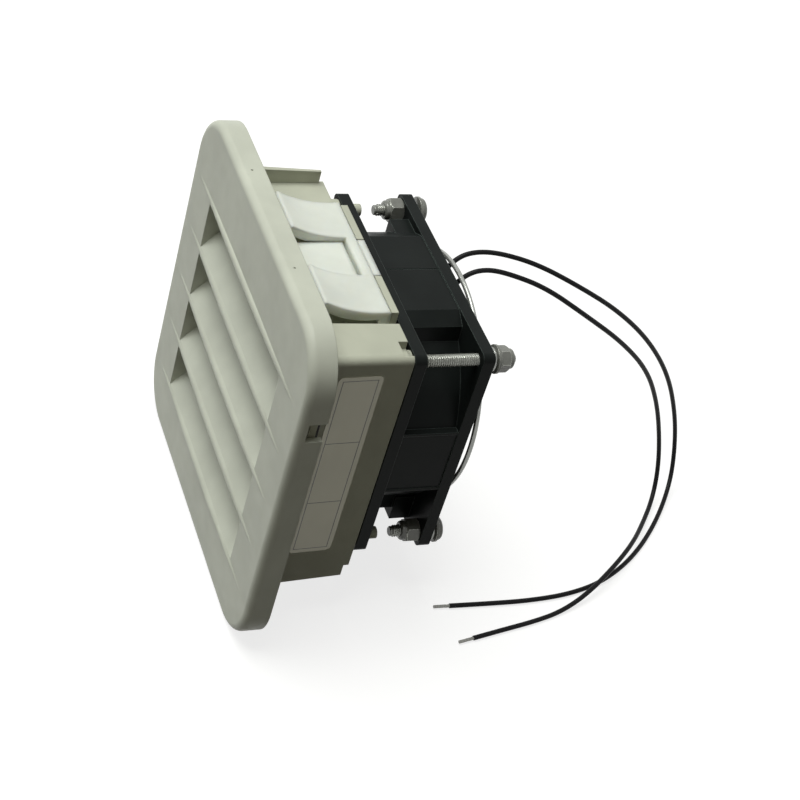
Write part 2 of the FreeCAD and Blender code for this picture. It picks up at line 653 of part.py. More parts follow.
def make_base_frame():
    """Builds the moulded frame that passes through the panel and carries the fan."""
    body = new_body("base_frame")
    flange_rear = -S.gasket_wall
    flange_front = flange_rear - S.flange_wall

    def flange_outline(sketch):
        rectangle(sketch, -flange_half, flange_half, -flange_half, flange_half)

    flange = pad_deep(body, flange_front, flange_rear, flange_outline)
    round_edges(body, flange, runs_along_y, S.plate_corner - S.rim_wall - S.cover_gap)

    sections = []
    for place, half in ((flange_rear - SUNK, spigot_half), (S.spigot_depth, spigot_rear)):
        sketch = new_sketch(body, "XZ", place)
        rectangle(sketch, -half, half, -half, half)
        sections.append(sketch)
    spigot = loft(body, "Additive", sections)

    rear = S.spigot_depth
    above = spigot_half + PAST

    def shoulder_edge(edge):
        middle = edge.BoundBox.Center
        half = spigot_half - S.spigot_draft / 2
        return runs_along_y(edge) and at_corner(edge, half, half) and middle.x * middle.z > 0

    round_edges(body, spigot, shoulder_edge, S.spigot_edge)

    def channels(sketch):
        rectangle(sketch, -channel_half, S.shoulder_place, floor, above)
        rectangle(sketch, -S.shoulder_place, channel_half, -above, -floor)

    cut_deep(body, flange_rear, rear + PAST, channels)

    def rib_ends(sketch):
        rectangle(sketch, -above, -channel_half + SUNK, floor, above)
        rectangle(sketch, channel_half - SUNK, above, -above, -floor)

    cut_deep(body, rear - S.rib_short, rear + PAST, rib_ends)

    def shoulder_notches(sketch):
        stop = S.notch_place + S.notch_width
        low = spigot_rear - S.notch_depth
        rectangle(sketch, S.notch_place, stop, low, above)
        rectangle(sketch, -stop, -S.notch_place, -above, -low)

    cut_deep(body, rear - S.notch_length, rear + PAST, shoulder_notches)

    sections = []
    for place, half in ((flange_front, spigot_half), (S.spigot_depth - S.rear_wall, spigot_rear)):
        sketch = new_sketch(body, "XZ", place)
        width = half - S.spigot_wall
        rectangle(sketch, -width, width, -inner_height, inner_height)
        sections.append(sketch)
    loft(body, "Subtractive", sections)
    seat_half = spigot_half - S.spigot_wall

    def rebate(sketch):
        height = inner_height + S.rebate_width
        rectangle(sketch, -seat_half, seat_half, -height, height)

    cut_deep(body, flange_front, flange_front + S.rebate_depth, rebate)

    def shoulder_hollows(sketch):
        near = S.shoulder_place + S.spigot_wall
        far = spigot_rear - S.spigot_wall
        top = spigot_rear - S.shoulder_wall
        rectangle(sketch, near, far, inner_height - SUNK, top)
        rectangle(sketch, -far, -near, -top, -inner_height + SUNK)

    cut_deep(body, flange_front - PAST, rear - S.rear_wall, shoulder_hollows)

    def seat(sketch):
        rectangle(sketch, -seat_half, seat_half, -inner_height - SUNK, inner_height + SUNK)
        width = spigot_rear - S.spigot_wall - S.seat_width
        height = inner_height - S.seat_width
        rectangle(sketch, -width, width, -height, height)

    pad_deep(body, S.seat_place, S.seat_place + S.seat_wall, seat)

    cut_deep(body, rear - S.rear_wall - PAST, rear + PAST, lambda s: circle(s, 0, 0, bore_radius))

    def bosses(sketch):
        for side, level in ALL_CORNERS:
            circle(sketch, hole * side, hole * level, S.boss_radius)

    pad_deep(body, rear - SUNK, fan_front, bosses)

    def pegs(sketch):
        for side, level in SCREW_CORNERS:
            circle(sketch, hole * side, hole * level, S.hole_radius - S.peg_gap)

    pad_deep(body, fan_front - SUNK, fan_front + S.fan_flange + S.peg_length, pegs)

    def ledges(sketch):
        stop = S.ledge_length / 2
        start = S.tab_width / 2 + S.slit_width
        for left, right in ((-stop, -start), (start, stop)):
            rectangle(sketch, left, right, floor - SUNK, ledge_top)
            rectangle(sketch, left, right, -ledge_top, -floor + SUNK)

    pad_deep(body, ledge_front, ledge_rear, ledges)

    def bolt_holes(sketch):
        for side, level in BOLT_CORNERS:
            circle(sketch, hole * side, hole * level, S.hole_radius)

    cut_deep(body, rear - S.rear_wall - PAST, fan_front + PAST, bolt_holes)
    finish(body, "base_frame")


def make_gasket():
    """Builds the foam strip between the flange and the panel."""
    body = new_body("panel_gasket")
    inner = spigot_half + S.gasket_gap

    def strip(sketch):
        outer = flange_half - S.gasket_inset
        corner = S.plate_corner - (plate_half - outer)
        rounded_square(sketch, outer, corner)
        rounded_square(sketch, inner, S.gasket_corner)

    pad_deep(body, -S.gasket_wall, 0, strip)
    finish(body, "panel_gasket")


def make_filter_mat():
    """Builds the filter mat that lies on its seat behind the slats."""
    body = new_body("filter_mat")
    width = spigot_rear - S.spigot_wall - S.mat_side
    height = inner_height - S.mat_side

    def mat(sketch):
        rectangle(sketch, -width, width, -height, height)

    pad_deep(body, -S.slat_back + S.mat_gap, S.seat_place - S.mat_gap, mat)
    finish(body, "filter_mat")


def make_sticker():
    """Builds the bare sticker on the spigot's right side, leaning with the wall."""
    sticker = doc.addObject("Part::Box", "sticker_sheet")
    lean = S.spigot_draft / (S.spigot_depth + S.gasket_wall + SUNK)
    wall_place = spigot_half - lean * (S.sticker_start + S.gasket_wall + SUNK) + S.fit_gap
    bind(sticker, "Length", S.sticker_wall)
    bind(sticker, "Width", S.sticker_width)
    bind(sticker, "Height", S.sticker_length)
    bind(sticker, "Placement.Base.x", wall_place)
    bind(sticker, "Placement.Base.y", S.sticker_start)
    bind(sticker, "Placement.Base.z", S.sticker_low)
    sticker.Placement = FreeCAD.Placement(Vector(), Rotation(Vector(0, 0, 1), 1))
    sticker.setExpression("Placement.Rotation.Yaw", "atan(%s)" % lean.formula)
    doc.recompute()
    rounded = doc.addObject("Part::Fillet", "rating_sticker")
    rounded.Base = sticker
    corners = [i for i, edge in enumerate(sticker.Shape.Edges, start=1)
               if edge.Length < 2 * S.sticker_wall.value]
    rounded.Edges = [(i, S.sticker_corner.value, S.sticker_corner.value) for i in corners]
    finish(rounded, "rating_sticker")


# The snap latches on the top and bottom of the base frame.

def make_latch(name, level):
    """Builds one latch: the base plate in its channel and the sprung bar with two tongues."""
    base = new_body("latch_base_" + name)
    gap = S.latch_width / 2 - S.tongue_width
    top = floor + S.bar_height
    tip = floor + S.tongue_lift
    under = top - S.tongue_wall
    bar_front = axis_place - S.bar_radius
    foot = S.bar_radius * 0.9 * level
    soft = S.bar_edge * (math.sqrt(0.5) - 1) * level
    hollow = S.tongue_bow * level
    link_top = floor + S.latch_wall
    block_top = floor + S.block_height
    block_rear = bar_front - S.latch_gap * 3

    sketch = new_sketch(base, "YZ", -S.tab_width / 2)
    outline(sketch, (
        (S.latch_start, floor * level),
        (ledge_rear, floor * level),
        (ledge_rear, ledge_top * level),
        (ledge_front, ledge_top * level),
        (ledge_front, link_top * level),
        (block_rear, link_top * level),
        (block_rear, block_top * level),
        (S.latch_start + S.latch_wall, block_top * level),
    ))
    pad(base, sketch, S.tab_width)
    finish(base, "latch_base_" + name)

    spring = new_body("latch_tongues_" + name)
    sketch = new_sketch(spring, "YZ", -gap - SUNK)
    outline(sketch, (
        (bar_front + S.bar_edge, top * level, soft),
        (bar_front, (top - S.bar_edge) * level),
        (bar_front, axis_height * level),
        (bar_rear, axis_height * level),
        (bar_rear, (top - S.bar_edge) * level, soft),
        (bar_rear - S.bar_edge, top * level),
    ))
    pad(spring, sketch, gap * 2 + SUNK * 2)

    sketch = new_sketch(spring, "YZ", gap)
    outline(sketch, (
        (bar_rear, (top - S.bar_edge) * level, soft),
        (bar_rear - S.bar_edge, top * level, hollow),
        (S.tongue_tip, tip * level),
        (S.tongue_tip + S.tongue_wall / 10, (tip - S.tongue_wall * TIP_SHARE) * level, -hollow),
        (bar_front, under * level),
        (bar_front, axis_height * level, -foot),
        (bar_rear, axis_height * level),
    ))
    tongue = pad(spring, sketch, S.tongue_width)
    mirror = spring.newObject("PartDesign::Mirrored", "other_tongue")
    mirror.Originals = [tongue]
    mirror.MirrorPlane = (origin_feature(spring, "YZ_Plane"), [""])
    spring.Tip = mirror

    def tip_edge(edge):
        across = abs(edge.firstVertex().Point.x - edge.lastVertex().Point.x) > 0.99 * edge.Length
        return across and edge.BoundBox.YMax < (S.tongue_tip + S.tongue_wall / 2).value

    round_edges(spring, mirror, tip_edge, S.tongue_edge)
    finish(spring, "latch_tongues_" + name)


# The axial fan.

def make_fan_frame():
    """Builds the fan's frame: two flanges, a barrel with flat side panels, base and struts."""
    body = new_body("fan_frame")

    def square(sketch):
        rectangle(sketch, -fan_half, fan_half, -fan_half, fan_half)

    front = pad_deep(body, fan_front, fan_front + S.fan_flange, square)

    def flange_corner(edge):
        return runs_along_y(edge) and at_corner(edge, fan_half, fan_half)

    round_edges(body, front, flange_corner, S.fan_corner)
    pad_deep(body, fan_front, fan_rear, lambda s: circle(s, 0, 0, barrel_radius))
    back = pad_deep(body, fan_rear - S.fan_flange, fan_rear, square)
    round_edges(body, back, flange_corner, S.fan_corner)

    reach = fan_half - S.panel_inset
    middle_front = fan_front + S.fan_flange / 2
    middle_rear = fan_rear - S.fan_flange / 2

    def long_panels(sketch):
        outline(sketch, (
            (-S.panel_near, -S.panel_near_height),
            (-S.panel_flat, -reach),
            (S.panel_flat, -reach, -S.panel_bow),
            (S.panel_far, -S.panel_far_height),
            (S.panel_near, S.panel_near_height),
            (S.panel_flat, reach),
            (-S.panel_flat, reach, -S.panel_bow),
            (-S.panel_far, S.panel_far_height),
        ))

    pad_deep(body, middle_front, middle_rear, long_panels)

    def side_panels(sketch):
        outline(sketch, (
            (-reach, -S.side_high),
            (reach, -S.side_low),
            (reach, S.side_high),
            (-reach, S.side_low),
        ))

    pad_deep(body, middle_front, middle_rear, side_panels)

    def side_ribs(sketch):
        proud = reach + S.side_rib_proud
        for low in (-S.side_low, S.side_high - S.side_rib):
            rectangle(sketch, reach - PAST, proud, low, low + S.side_rib)
            rectangle(sketch, -proud, -reach + PAST, -low - S.side_rib, -low)

    pad_deep(body, middle_front, middle_rear, side_ribs)

    def seams(sketch):
        near = S.seam_place - S.seam_width / 2
        far = S.seam_place + S.seam_width / 2
        low = reach - S.seam_width
        rectangle(sketch, -far, -near, low, fan_half + PAST)
        rectangle(sketch, near, far, -fan_half - PAST, -low)

    cut_deep(body, fan_front + S.fan_flange, fan_rear - S.fan_flange, seams)

    def gussets(sketch):
        for side, level in SCREW_CORNERS:
            left, right = in_order(S.gusset_near * side, S.gusset_far * side)
            low, high = in_order(S.gusset_low * level, S.gusset_high * level)
            rectangle(sketch, left, right, low, high)

    pad_deep(body, fan_rear - S.fan_flange - S.gusset_depth, fan_rear - S.fan_flange / 2, gussets)
    cut_deep(body, fan_front - PAST, fan_rear + PAST, lambda s: circle(s, 0, 0, bore_radius))

    def strut(sketch):
        half = S.strut_width / 2
        rectangle(sketch, -half, half, -bore_radius - SUNK, bore_radius + SUNK)

    pad_deep(body, base_front, fan_rear, lambda s: circle(s, 0, 0, S.base_radius))
    for tilt in (45, -45):
        sketch = new_sketch(body, "XZ", base_front)
        strut(sketch)
        sketch.AttachmentOffset = FreeCAD.Placement(Vector(), Rotation(Vector(0, 0, 1), tilt))
        pad(body, sketch, S.base_wall, backwards=True)

    cut_deep(body, base_front - PAST, fan_rear + PAST,
             lambda s: circle(s, 0, 0, S.tube_radius + S.fit_gap))

    def grommet_notch(sketch):
        left = S.grommet_left - S.fit_gap
        right = S.grommet_left + S.grommet_width + S.fit_gap
        rectangle(sketch, left, right, S.grommet_low - S.fit_gap, S.base_radius + PAST)

    cut_deep(body, base_front - PAST, fan_rear + PAST, grommet_notch)

    def holes(sketch):
        for side, level in ALL_CORNERS:
            circle(sketch, hole * side, hole * level, S.hole_radius)

    cut_deep(body, fan_front - PAST, fan_rear + PAST, holes)
    finish(body, "fan_frame")


def make_impeller():
    """Builds the impeller: a hub cup with twisted, hollowed blades trimmed to the barrel."""
    body = new_body("impeller")
    tip_radius = bore_radius - S.tip_gap
    pad_deep(body, hub_front, hub_rear, lambda s: circle(s, 0, 0, S.hub_radius))
    middle = (hub_front + hub_rear) / 2
    sections = []
    for place, chord, depth in (
        (S.hub_radius - S.hub_wall * 3, S.root_chord, S.root_depth),
        (tip_radius + PAST, S.tip_chord, S.tip_depth),
    ):
        sketch = new_sketch(body, "YZ", place)
        lead = middle + depth / 2
        trail = middle - depth / 2
        outline(sketch, (
            (lead, -chord / 2, S.blade_bow),
            (trail, chord / 2),
            (trail - S.blade_wall, chord / 2, -S.blade_bow),
            (lead - S.blade_wall, -chord / 2),
        ))
        sections.append(sketch)
    blade = loft(body, "Additive", sections)
    pattern_round(body, blade, S.blade_count)

    def trim(sketch):
        circle(sketch, 0, 0, tip_radius)
        circle(sketch, 0, 0, tip_radius + S.tip_chord)

    cut_deep(body, hub_front - S.tip_chord, hub_rear + S.tip_chord, trim)
    cut_deep(body, hub_front + S.hub_wall, hub_rear + PAST,
             lambda s: circle(s, 0, 0, S.hub_radius - S.hub_wall))
    finish(body, "impeller")


def make_rotor():
    """Builds the outer rotor with its end plate, the shaft and the retaining ring."""
    rotor = new_body("rotor")
    start = hub_front + S.hub_wall
    revolve(rotor, (
        (start, S.shaft_radius + S.fit_gap),
        (start, rotor_radius),
        (hub_rear - S.hub_wall, rotor_radius),
        (hub_rear - S.hub_wall, rotor_radius - S.rotor_wall),
        (plate_rear, rotor_radius - S.rotor_wall),
        (plate_rear, S.shaft_radius + S.fit_gap),
    ))
    finish(rotor, "rotor")
    shaft_rear = rear_bearing + S.bearing_width + S.clip_wall * 2
    finish(rod("shaft", ZERO, ZERO, start, shaft_rear, S.shaft_radius), "motor_shaft")
    clip = new_body("retaining_ring")
    clip_front = rear_bearing + S.bearing_width + S.running_gap
    revolve(clip, (
        (clip_front, S.shaft_radius + S.fit_gap),
        (clip_front, S.clip_radius),
        (clip_front + S.clip_wall, S.clip_radius),
        (clip_front + S.clip_wall, S.shaft_radius + S.fit_gap),
    ))
    finish(clip, "retaining_ring")


def make_bearings():
    """Builds the bearing tube, two bearings and the preload washer."""
    tube = new_body("bearing_tube")
    revolve(tube, (
        (tube_front, S.bearing_radius + S.fit_gap),
        (tube_front, S.tube_radius),
        (fan_rear, S.tube_radius),
        (fan_rear, ZERO),
        (base_front + S.clip_wall * 3, ZERO),
        (base_front + S.clip_wall * 3, S.bearing_radius + S.fit_gap),
    ))
    finish(tube, "bearing_tube")
    for name, place in (("front_bearing", front_bearing), ("rear_bearing", rear_bearing)):
        ring = new_body(name)
        inner = S.shaft_radius + S.running_gap
        revolve(ring, (
            (place, inner),
            (place, S.bearing_radius),
            (place + S.bearing_width, S.bearing_radius),
            (place + S.bearing_width, inner),
        ))
        finish(ring, name)
    washer = new_body("preload_washer")
    washer_rear = front_bearing - S.fit_gap
    revolve(washer, (
        (washer_rear - S.washer_wall, S.shaft_radius + S.running_gap),
        (washer_rear - S.washer_wall, S.bearing_radius - S.stator_gap),
        (washer_rear, S.bearing_radius - S.stator_gap),
        (washer_rear, S.shaft_radius + S.running_gap),
    ))
    finish(washer, "preload_washer")


def make_stator():
    """Builds the slotted stator stack on the bearing tube and the coils in its slots."""
    core = new_body("stator_core")
    stator_rear = stator_front + S.stator_stack
    pad_deep(core, stator_front, stator_rear, lambda s: circle(s, 0, 0, stator_radius))
    half = S.slot_width / 2
    slot_floor = stator_radius - S.slot_depth

    def slot(sketch):
        rectangle(sketch, -half, half, slot_floor, stator_radius + PAST)

    groove = cut_deep(core, stator_front, stator_rear, slot)
    pattern_round(core, groove, S.slot_count)
    cut_deep(core, stator_front - PAST, stator_rear + PAST,
             lambda s: circle(s, 0, 0, S.tube_radius + S.fit_gap))
    finish(core, "stator_core")
    coils = []
    for index in range(int(S.slot_count.value)):
        coil = doc.addObject("Part::Box", "coil")
        spin = FreeCAD.Placement(Vector(), Rotation(Vector(0, 1, 0), 360 / S.slot_count.value * index))
        bind(coil, "Length", S.slot_width - S.fit_gap * 2)
        bind(coil, "Width", S.stator_stack + S.coil_overhang * 2)
        bind(coil, "Height", S.slot_depth - S.stator_gap)
        bind(coil, "Placement.Base.x", -half + S.fit_gap)
        bind(coil, "Placement.Base.y", stator_front - S.coil_overhang)
        bind(coil, "Placement.Base.z", slot_floor + S.fit_gap)
        turned = doc.addObject("Part::Compound", "coil_turned")
        turned.Links = [coil]
        turned.Placement = spin
        coils.append(turned)
    group("stator_coils", coils)


# The finger guard and the fasteners.

def make_guard():
    """Builds the wire guard: four rings, and four bent arms with a loop round each screw."""
    step = (guard_outer - S.guard_inner) / (S.guard_count - 1)
    for index in range(int(S.guard_count.value)):
        ring = wire_ring(0, 0, ring_plane, S.guard_inner + step * index)
        finish(ring, "guard_ring_%d" % (index + 1))
    loop_radius = S.screw_radius + S.screw_gap + S.wire_radius
    loop_plane = fan_rear + S.wire_radius
    diagonal = math.sqrt(0.5)
    arm_plane = ring_plane - S.wire_radius * 2 - S.weld_gap
    elbow = guard_outer + S.wire_radius * 2
    foot = hole / diagonal - loop_radius
    ankle = hole / diagonal - S.washer_radius - S.wire_radius
    arms = []
    for side, level in ALL_CORNERS:
        out = Vector(side * diagonal, 0, level * diagonal)
        places = [
            out * reach.value + Vector(0, plane.value, 0)
            for reach, plane in (
                (S.guard_inner - S.wire_radius, arm_plane),
                (elbow, arm_plane),
                (ankle, loop_plane),
                (foot, loop_plane),
            )
        ]
        wires = [wire_between(start, stop, S.wire_radius) for start, stop in zip(places[:-2], places[1:])]
        wires.append(wire_between(places[-2], places[-1], S.wire_radius * FOOT_SHARE))
        wires += [wire_knee(place) for place in places[1:-1]]
        wires.append(wire_ring(hole * side, hole * level, loop_plane, loop_radius))
        arms.append(fuse("guard_arm", wires))
    group("finger_guard", arms)


def wire_ring(x, z, plane, radius):
    """Makes a closed ring of the guard's wire about an axis along Y."""
    ring = doc.addObject("Part::Torus", "guard_ring")
    ring.Placement = FreeCAD.Placement(Vector(), RING_TURN)
    bind(ring, "Radius1", radius)
    bind(ring, "Radius2", S.wire_radius)
    for letter, size in (("x", x), ("y", plane), ("z", z)):
        bind(ring, "Placement.Base." + letter, as_size(size))
    return ring


def wire_between(start, stop, radius):
    """Makes a straight piece of the guard's wire."""
    item = doc.addObject("Part::Cylinder", "guard_wire")
    item.Placement = FreeCAD.Placement(start, Rotation(Vector(0, 0, 1), stop - start))
    bind(item, "Radius", radius)
    item.Height = (stop - start).Length
    return item


def wire_knee(place):
    """Makes the rounded knee where two pieces of the guard's wire meet."""
    item = doc.addObject("Part::Sphere", "guard_knee")
    item.Placement = FreeCAD.Placement(place, Rotation())
    bind(item, "Radius", S.wire_radius)
    return item


def make_lock_nut(name, x, z, seat, height, direction):
    """Builds a nut with a locking collar that lies on a seat and points along Y or against it."""
    hex_end = seat + height * direction
    end = hex_end + S.collar_height * direction
    front, rear = in_order(seat, hex_end)
    prism = hexagon(name + "_hex", x, z, front, rear, S.nut_flats)
    front, rear = in_order(hex_end - SUNK * direction, end)
    collar = rod(name + "_collar", x, z, front, rear, S.collar_radius)
    front, rear = in_order(seat - PAST * direction, end + PAST * direction)
    bore = rod(name + "_bore", x, z, front, rear, S.screw_radius + S.screw_gap)
    return cut(name, fuse(name + "_blank", [prism, collar]), bore)


def make_washer(name, x, z, front):
    """Builds a plain washer."""
    rear = front + S.washer_height
    disc = rod(name + "_disc", x, z, front, rear, S.washer_radius)
    bore = rod(name + "_bore", x, z, front - PAST, rear + PAST, S.screw_radius + S.screw_gap)
    return cut(name, disc, bore)


def make_fasteners():
    """Builds the long bolts that hold the fan and the short screws that hold the guard."""
    head_seat = S.spigot_depth - S.rear_wall
    washer_rear = loop_rear + S.washer_height
    bolts = []
    nuts = []
    washers = []
    for side, level in BOLT_CORNERS:
        x, z = hole * side, hole * level
        head = hexagon("bolt_head", x, z, head_seat - S.bolt_head, head_seat, S.nut_flats)
        nut_end = washer_rear + S.nut_height + S.collar_height
        stem = rod("bolt_stem", x, z, head_seat - SUNK, nut_end + S.bolt_end, S.screw_radius)
        bolts.append(fuse("fan_bolt", [head, stem]))
        nuts.append(make_lock_nut("fan_nut", x, z, washer_rear, S.nut_height, 1))
        washers.append(make_washer("fan_washer", x, z, loop_rear))
    group("fan_bolts", bolts)
    group("fan_bolt_nuts", nuts)
    group("fan_bolt_washers", washers)
    screws = []
    nuts = []
    washers = []
    nut_seat = fan_rear - S.fan_flange
    for side, level in SCREW_CORNERS:
        x, z = hole * side, hole * level
        tip = nut_seat - S.high_nut_height - S.collar_height - S.screw_end
        head = rod("screw_head", x, z, washer_rear, washer_rear + S.pan_height, S.pan_radius)
        doc.recompute()
        domed = doc.addObject("Part::Fillet", "screw_dome")
        domed.Base = head
        rims = [i for i, edge in enumerate(head.Shape.Edges, start=1)
                if edge.BoundBox.YMin > (washer_rear + S.pan_height).value - 0.01]
        dome = 0.6 * S.pan_height.value
        domed.Edges = [(i, dome, dome) for i in rims]
        stem = rod("screw_stem", x, z, tip, washer_rear + SUNK, S.screw_radius)
        screws.append(fuse("guard_screw", [domed, stem]))
        nuts.append(make_lock_nut("guard_nut", x, z, nut_seat, S.high_nut_height, -1))
        washers.append(make_washer("guard_washer", x, z, loop_rear))
    group("guard_screws", screws)
    group("guard_screw_nuts", nuts)
    group("guard_screw_washers", washers)


# The grommet and the leads.

def make_grommet():
    """Builds the grommet in the motor base's rim that the leads come out of."""
    block = doc.addObject("Part::Box", "grommet_block")
    bind(block, "Length", S.grommet_width)
    bind(block, "Width", S.base_wall)
    bind(block, "Height", S.grommet_height)
    bind(block, "Placement.Base.x", S.grommet_left)
    bind(block, "Placement.Base.y", base_front)
    bind(block, "Placement.Base.z", S.grommet_low)
    finish(block, "lead_grommet")


def route_edges(points):
    """Joins straight runs with tangent arcs and returns the edges and the arc radii."""
    edges = []
    radii = []
    start = points[0]
    for before, corner, after in zip(points, points[1:], points[2:]):
        back = before - corner
        ahead = after - corner
        reach = ARC_SHARE * min(back.Length, ahead.Length)
        half_turn = (math.pi - back.getAngle(ahead)) / 2
        radius = reach / math.tan(half_turn)
        back.normalize()
        ahead.normalize()
        first = corner + back * reach
        last = corner + ahead * reach
        inward = (back + ahead).normalize()
        middle = corner + inward * (radius / math.cos(half_turn) - radius)
        edges.append(Part.LineSegment(start, first).toShape())
        edges.append(Part.Arc(first, middle, last).toShape())
        radii.append(radius)
        start = last
    edges.append(Part.LineSegment(start, points[-1]).toShape())
    return edges, radii


def tube(points, radius):
    """Sweeps a round section along a route of straight runs and tangent arcs."""
    edges, _ = route_edges(points)
    path = Part.Wire(edges)
    section = Part.Wire([Part.Circle(points[0], points[1] - points[0], radius).toShape()])
    shape = path.makePipeShell([section], True, True)
    return shape if shape.ShapeType == "Solid" else shape.Solids[0]


def make_leads():
    """Builds the two leads and their tinned ends."""
    for name, route in LEAD_ROUTES.items():
        points = [Vector(*point) for point in route]
        edges, radii = route_edges(points)
        length = sum(edge.Length for edge in edges)
        lead = doc.addObject("Part::Feature", name)
        lead.Shape = tube(points, S.lead_radius.value)
        lead.Placement = FreeCAD.Placement()
        finish(lead, name)
        expected = math.pi * S.lead_radius.value ** 2 * length
        print(name, "length %.1f" % length, "volume share %.4f" % (lead.Shape.Volume / expected))
        print("  radii", " ".join("%.1f" % radius for radius in radii))
        way = (points[-1] - points[-2]).normalize()
        core = doc.addObject("Part::Feature", name + "_end")
        core.Shape = Part.makeCylinder(S.core_radius.value, S.core_length.value, points[-1], way)
        core.Placement = FreeCAD.Placement()
        finish(core, name + "_end")


def write_parts():
    """Checks every object and sub-part and writes one file for each sub-part."""
    doc.recompute()
    for item in doc.Objects:
        if {"Invalid", "Error"} & set(item.State):
            raise RuntimeError("failed: %s %s" % (item.Name, item.State))
    for item in subparts:
        if item.Shape.isNull() or not item.Shape.isValid():
            raise RuntimeError("no valid shape: " + item.Label)
    os.makedirs("parts", exist_ok=True)
    for item in subparts:
        item.Shape.exportStep("parts/%s.step" % item.Label)
        print("%-24s solids %d volume %.1f" % (item.Label, len(item.Shape.Solids), item.Shape.Volume))


make_cover()
make_base_frame()
make_gasket()
make_filter_mat()
make_sticker()
make_latch("top", 1)
make_latch("bottom", -1)
make_fan_frame()
make_impeller()
make_rotor()
make_bearings()
make_stator()
make_guard()
make_fasteners()
make_grommet()
make_leads()
write_parts()
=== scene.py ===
import json
import logging
import math
from collections import defaultdict
from dataclasses import dataclass, field
from enum import Enum
from typing import Callable, Sequence

import bpy
from mathutils import Matrix, Vector


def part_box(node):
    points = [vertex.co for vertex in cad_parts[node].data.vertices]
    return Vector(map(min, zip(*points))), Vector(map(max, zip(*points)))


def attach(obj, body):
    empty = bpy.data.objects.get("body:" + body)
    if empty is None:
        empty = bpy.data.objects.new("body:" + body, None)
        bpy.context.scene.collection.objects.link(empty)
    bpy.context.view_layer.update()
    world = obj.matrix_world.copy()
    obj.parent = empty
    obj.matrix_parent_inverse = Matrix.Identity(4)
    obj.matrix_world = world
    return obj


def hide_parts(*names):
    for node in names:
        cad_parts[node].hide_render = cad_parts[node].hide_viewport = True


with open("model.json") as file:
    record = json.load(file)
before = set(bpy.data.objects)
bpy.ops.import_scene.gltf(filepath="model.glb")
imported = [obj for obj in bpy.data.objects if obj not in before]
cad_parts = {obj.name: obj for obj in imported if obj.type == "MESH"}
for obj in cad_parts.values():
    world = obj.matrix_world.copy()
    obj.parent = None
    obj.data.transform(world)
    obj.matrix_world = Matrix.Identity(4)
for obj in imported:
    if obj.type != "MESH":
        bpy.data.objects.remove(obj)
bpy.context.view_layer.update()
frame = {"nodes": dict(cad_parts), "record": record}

MM = 0.001
Point = tuple[float, float, float]
Colour = tuple[float, float, float]
Axis = tuple[float, float]
Reach = tuple[float, float]
Piece = bpy.types.Object
Socket = bpy.types.NodeSocket
Material = bpy.types.Material
log = logging.getLogger("filter_fan")


class Slot(Enum):
    """Finishes of the object, by the names that the record gives them."""

    COVER = "cover_plastic"
    FRAME = "frame_plastic"
    LATCH = "latch_nylon"
    GASKET = "gasket_foam"
    FLEECE = "filter_fleece"
    STICKER = "sticker_foil"
    FAN = "fan_plastic"
    MOTOR = "motor_steel"
    BRASS = "motor_brass"
    STATOR = "stator_iron"
    COPPER = "coil_copper"
    GUARD = "guard_wire"
    ZINC = "zinc_steel"
    GROMMET = "lead_rubber"
    LEAD = "lead_insulation"
    TINNED = "tinned_core"


class Body(Enum):
    """Bodies that the modelled pieces ride on."""

    HOUSING = "housing"
    COVER = "cover"


class Element(Enum):
    """Kinds of mesh element that are selected for editing."""

    FACE = "FACE"
    EDGE = "EDGE"


class Combine(Enum):
    """Ways to combine a piece with a closed tool."""

    CUT = "DIFFERENCE"
    KEEP_COMMON = "INTERSECT"
    FUSE = "UNION"


def tint(colour: Colour, share: float) -> Colour:
    """Returns a colour with every channel scaled by a share, up to white."""
    return tuple(min(1.0, channel * share) for channel in colour)


class Nodes:
    """A node tree, with short ways to add nodes."""

    def __init__(self, tree: bpy.types.NodeTree) -> None:
        """Takes the tree to add to."""
        self.tree = tree

    def put(self, value: object, target: Socket) -> None:
        """Links a socket to an input, or sets the input to a plain value.

        Args:
            value: Socket or plain value.
            target: Input to link or set.
        """
        if isinstance(value, Socket):
            self.tree.links.new(value, target)
        else:
            target.default_value = value

    def node(self, kind: str, **inputs: object) -> bpy.types.Node:
        """Adds a node of a type, by Blender's name, and fills its inputs."""
        return self.fill(self.tree.nodes.new(kind), inputs)

    def fill(self, node: bpy.types.Node, inputs: dict[str, object]) -> bpy.types.Node:
        """Sets or links inputs of a node.

        Args:
            node: Node to fill.
            inputs: Sockets or values, by the input's name with underscores in place of spaces.

        Returns:
            The node.
        """
        for name, value in inputs.items():
            self.put(value, node.inputs[name.replace("_", " ")])
        return node

    def calculate(self, operation: str, *values: Socket | float) -> Socket:
        """Adds a calculation on one to three values.

        Args:
            operation: Blender's name of the operation.
            values: Sockets or numbers, in the order of the node's inputs.

        Returns:
            The result.
        """
        node = self.node("ShaderNodeMath")
        node.operation = operation
        for value, target in zip(values, node.inputs):
            self.put(value, target)
        return node.outputs[0]


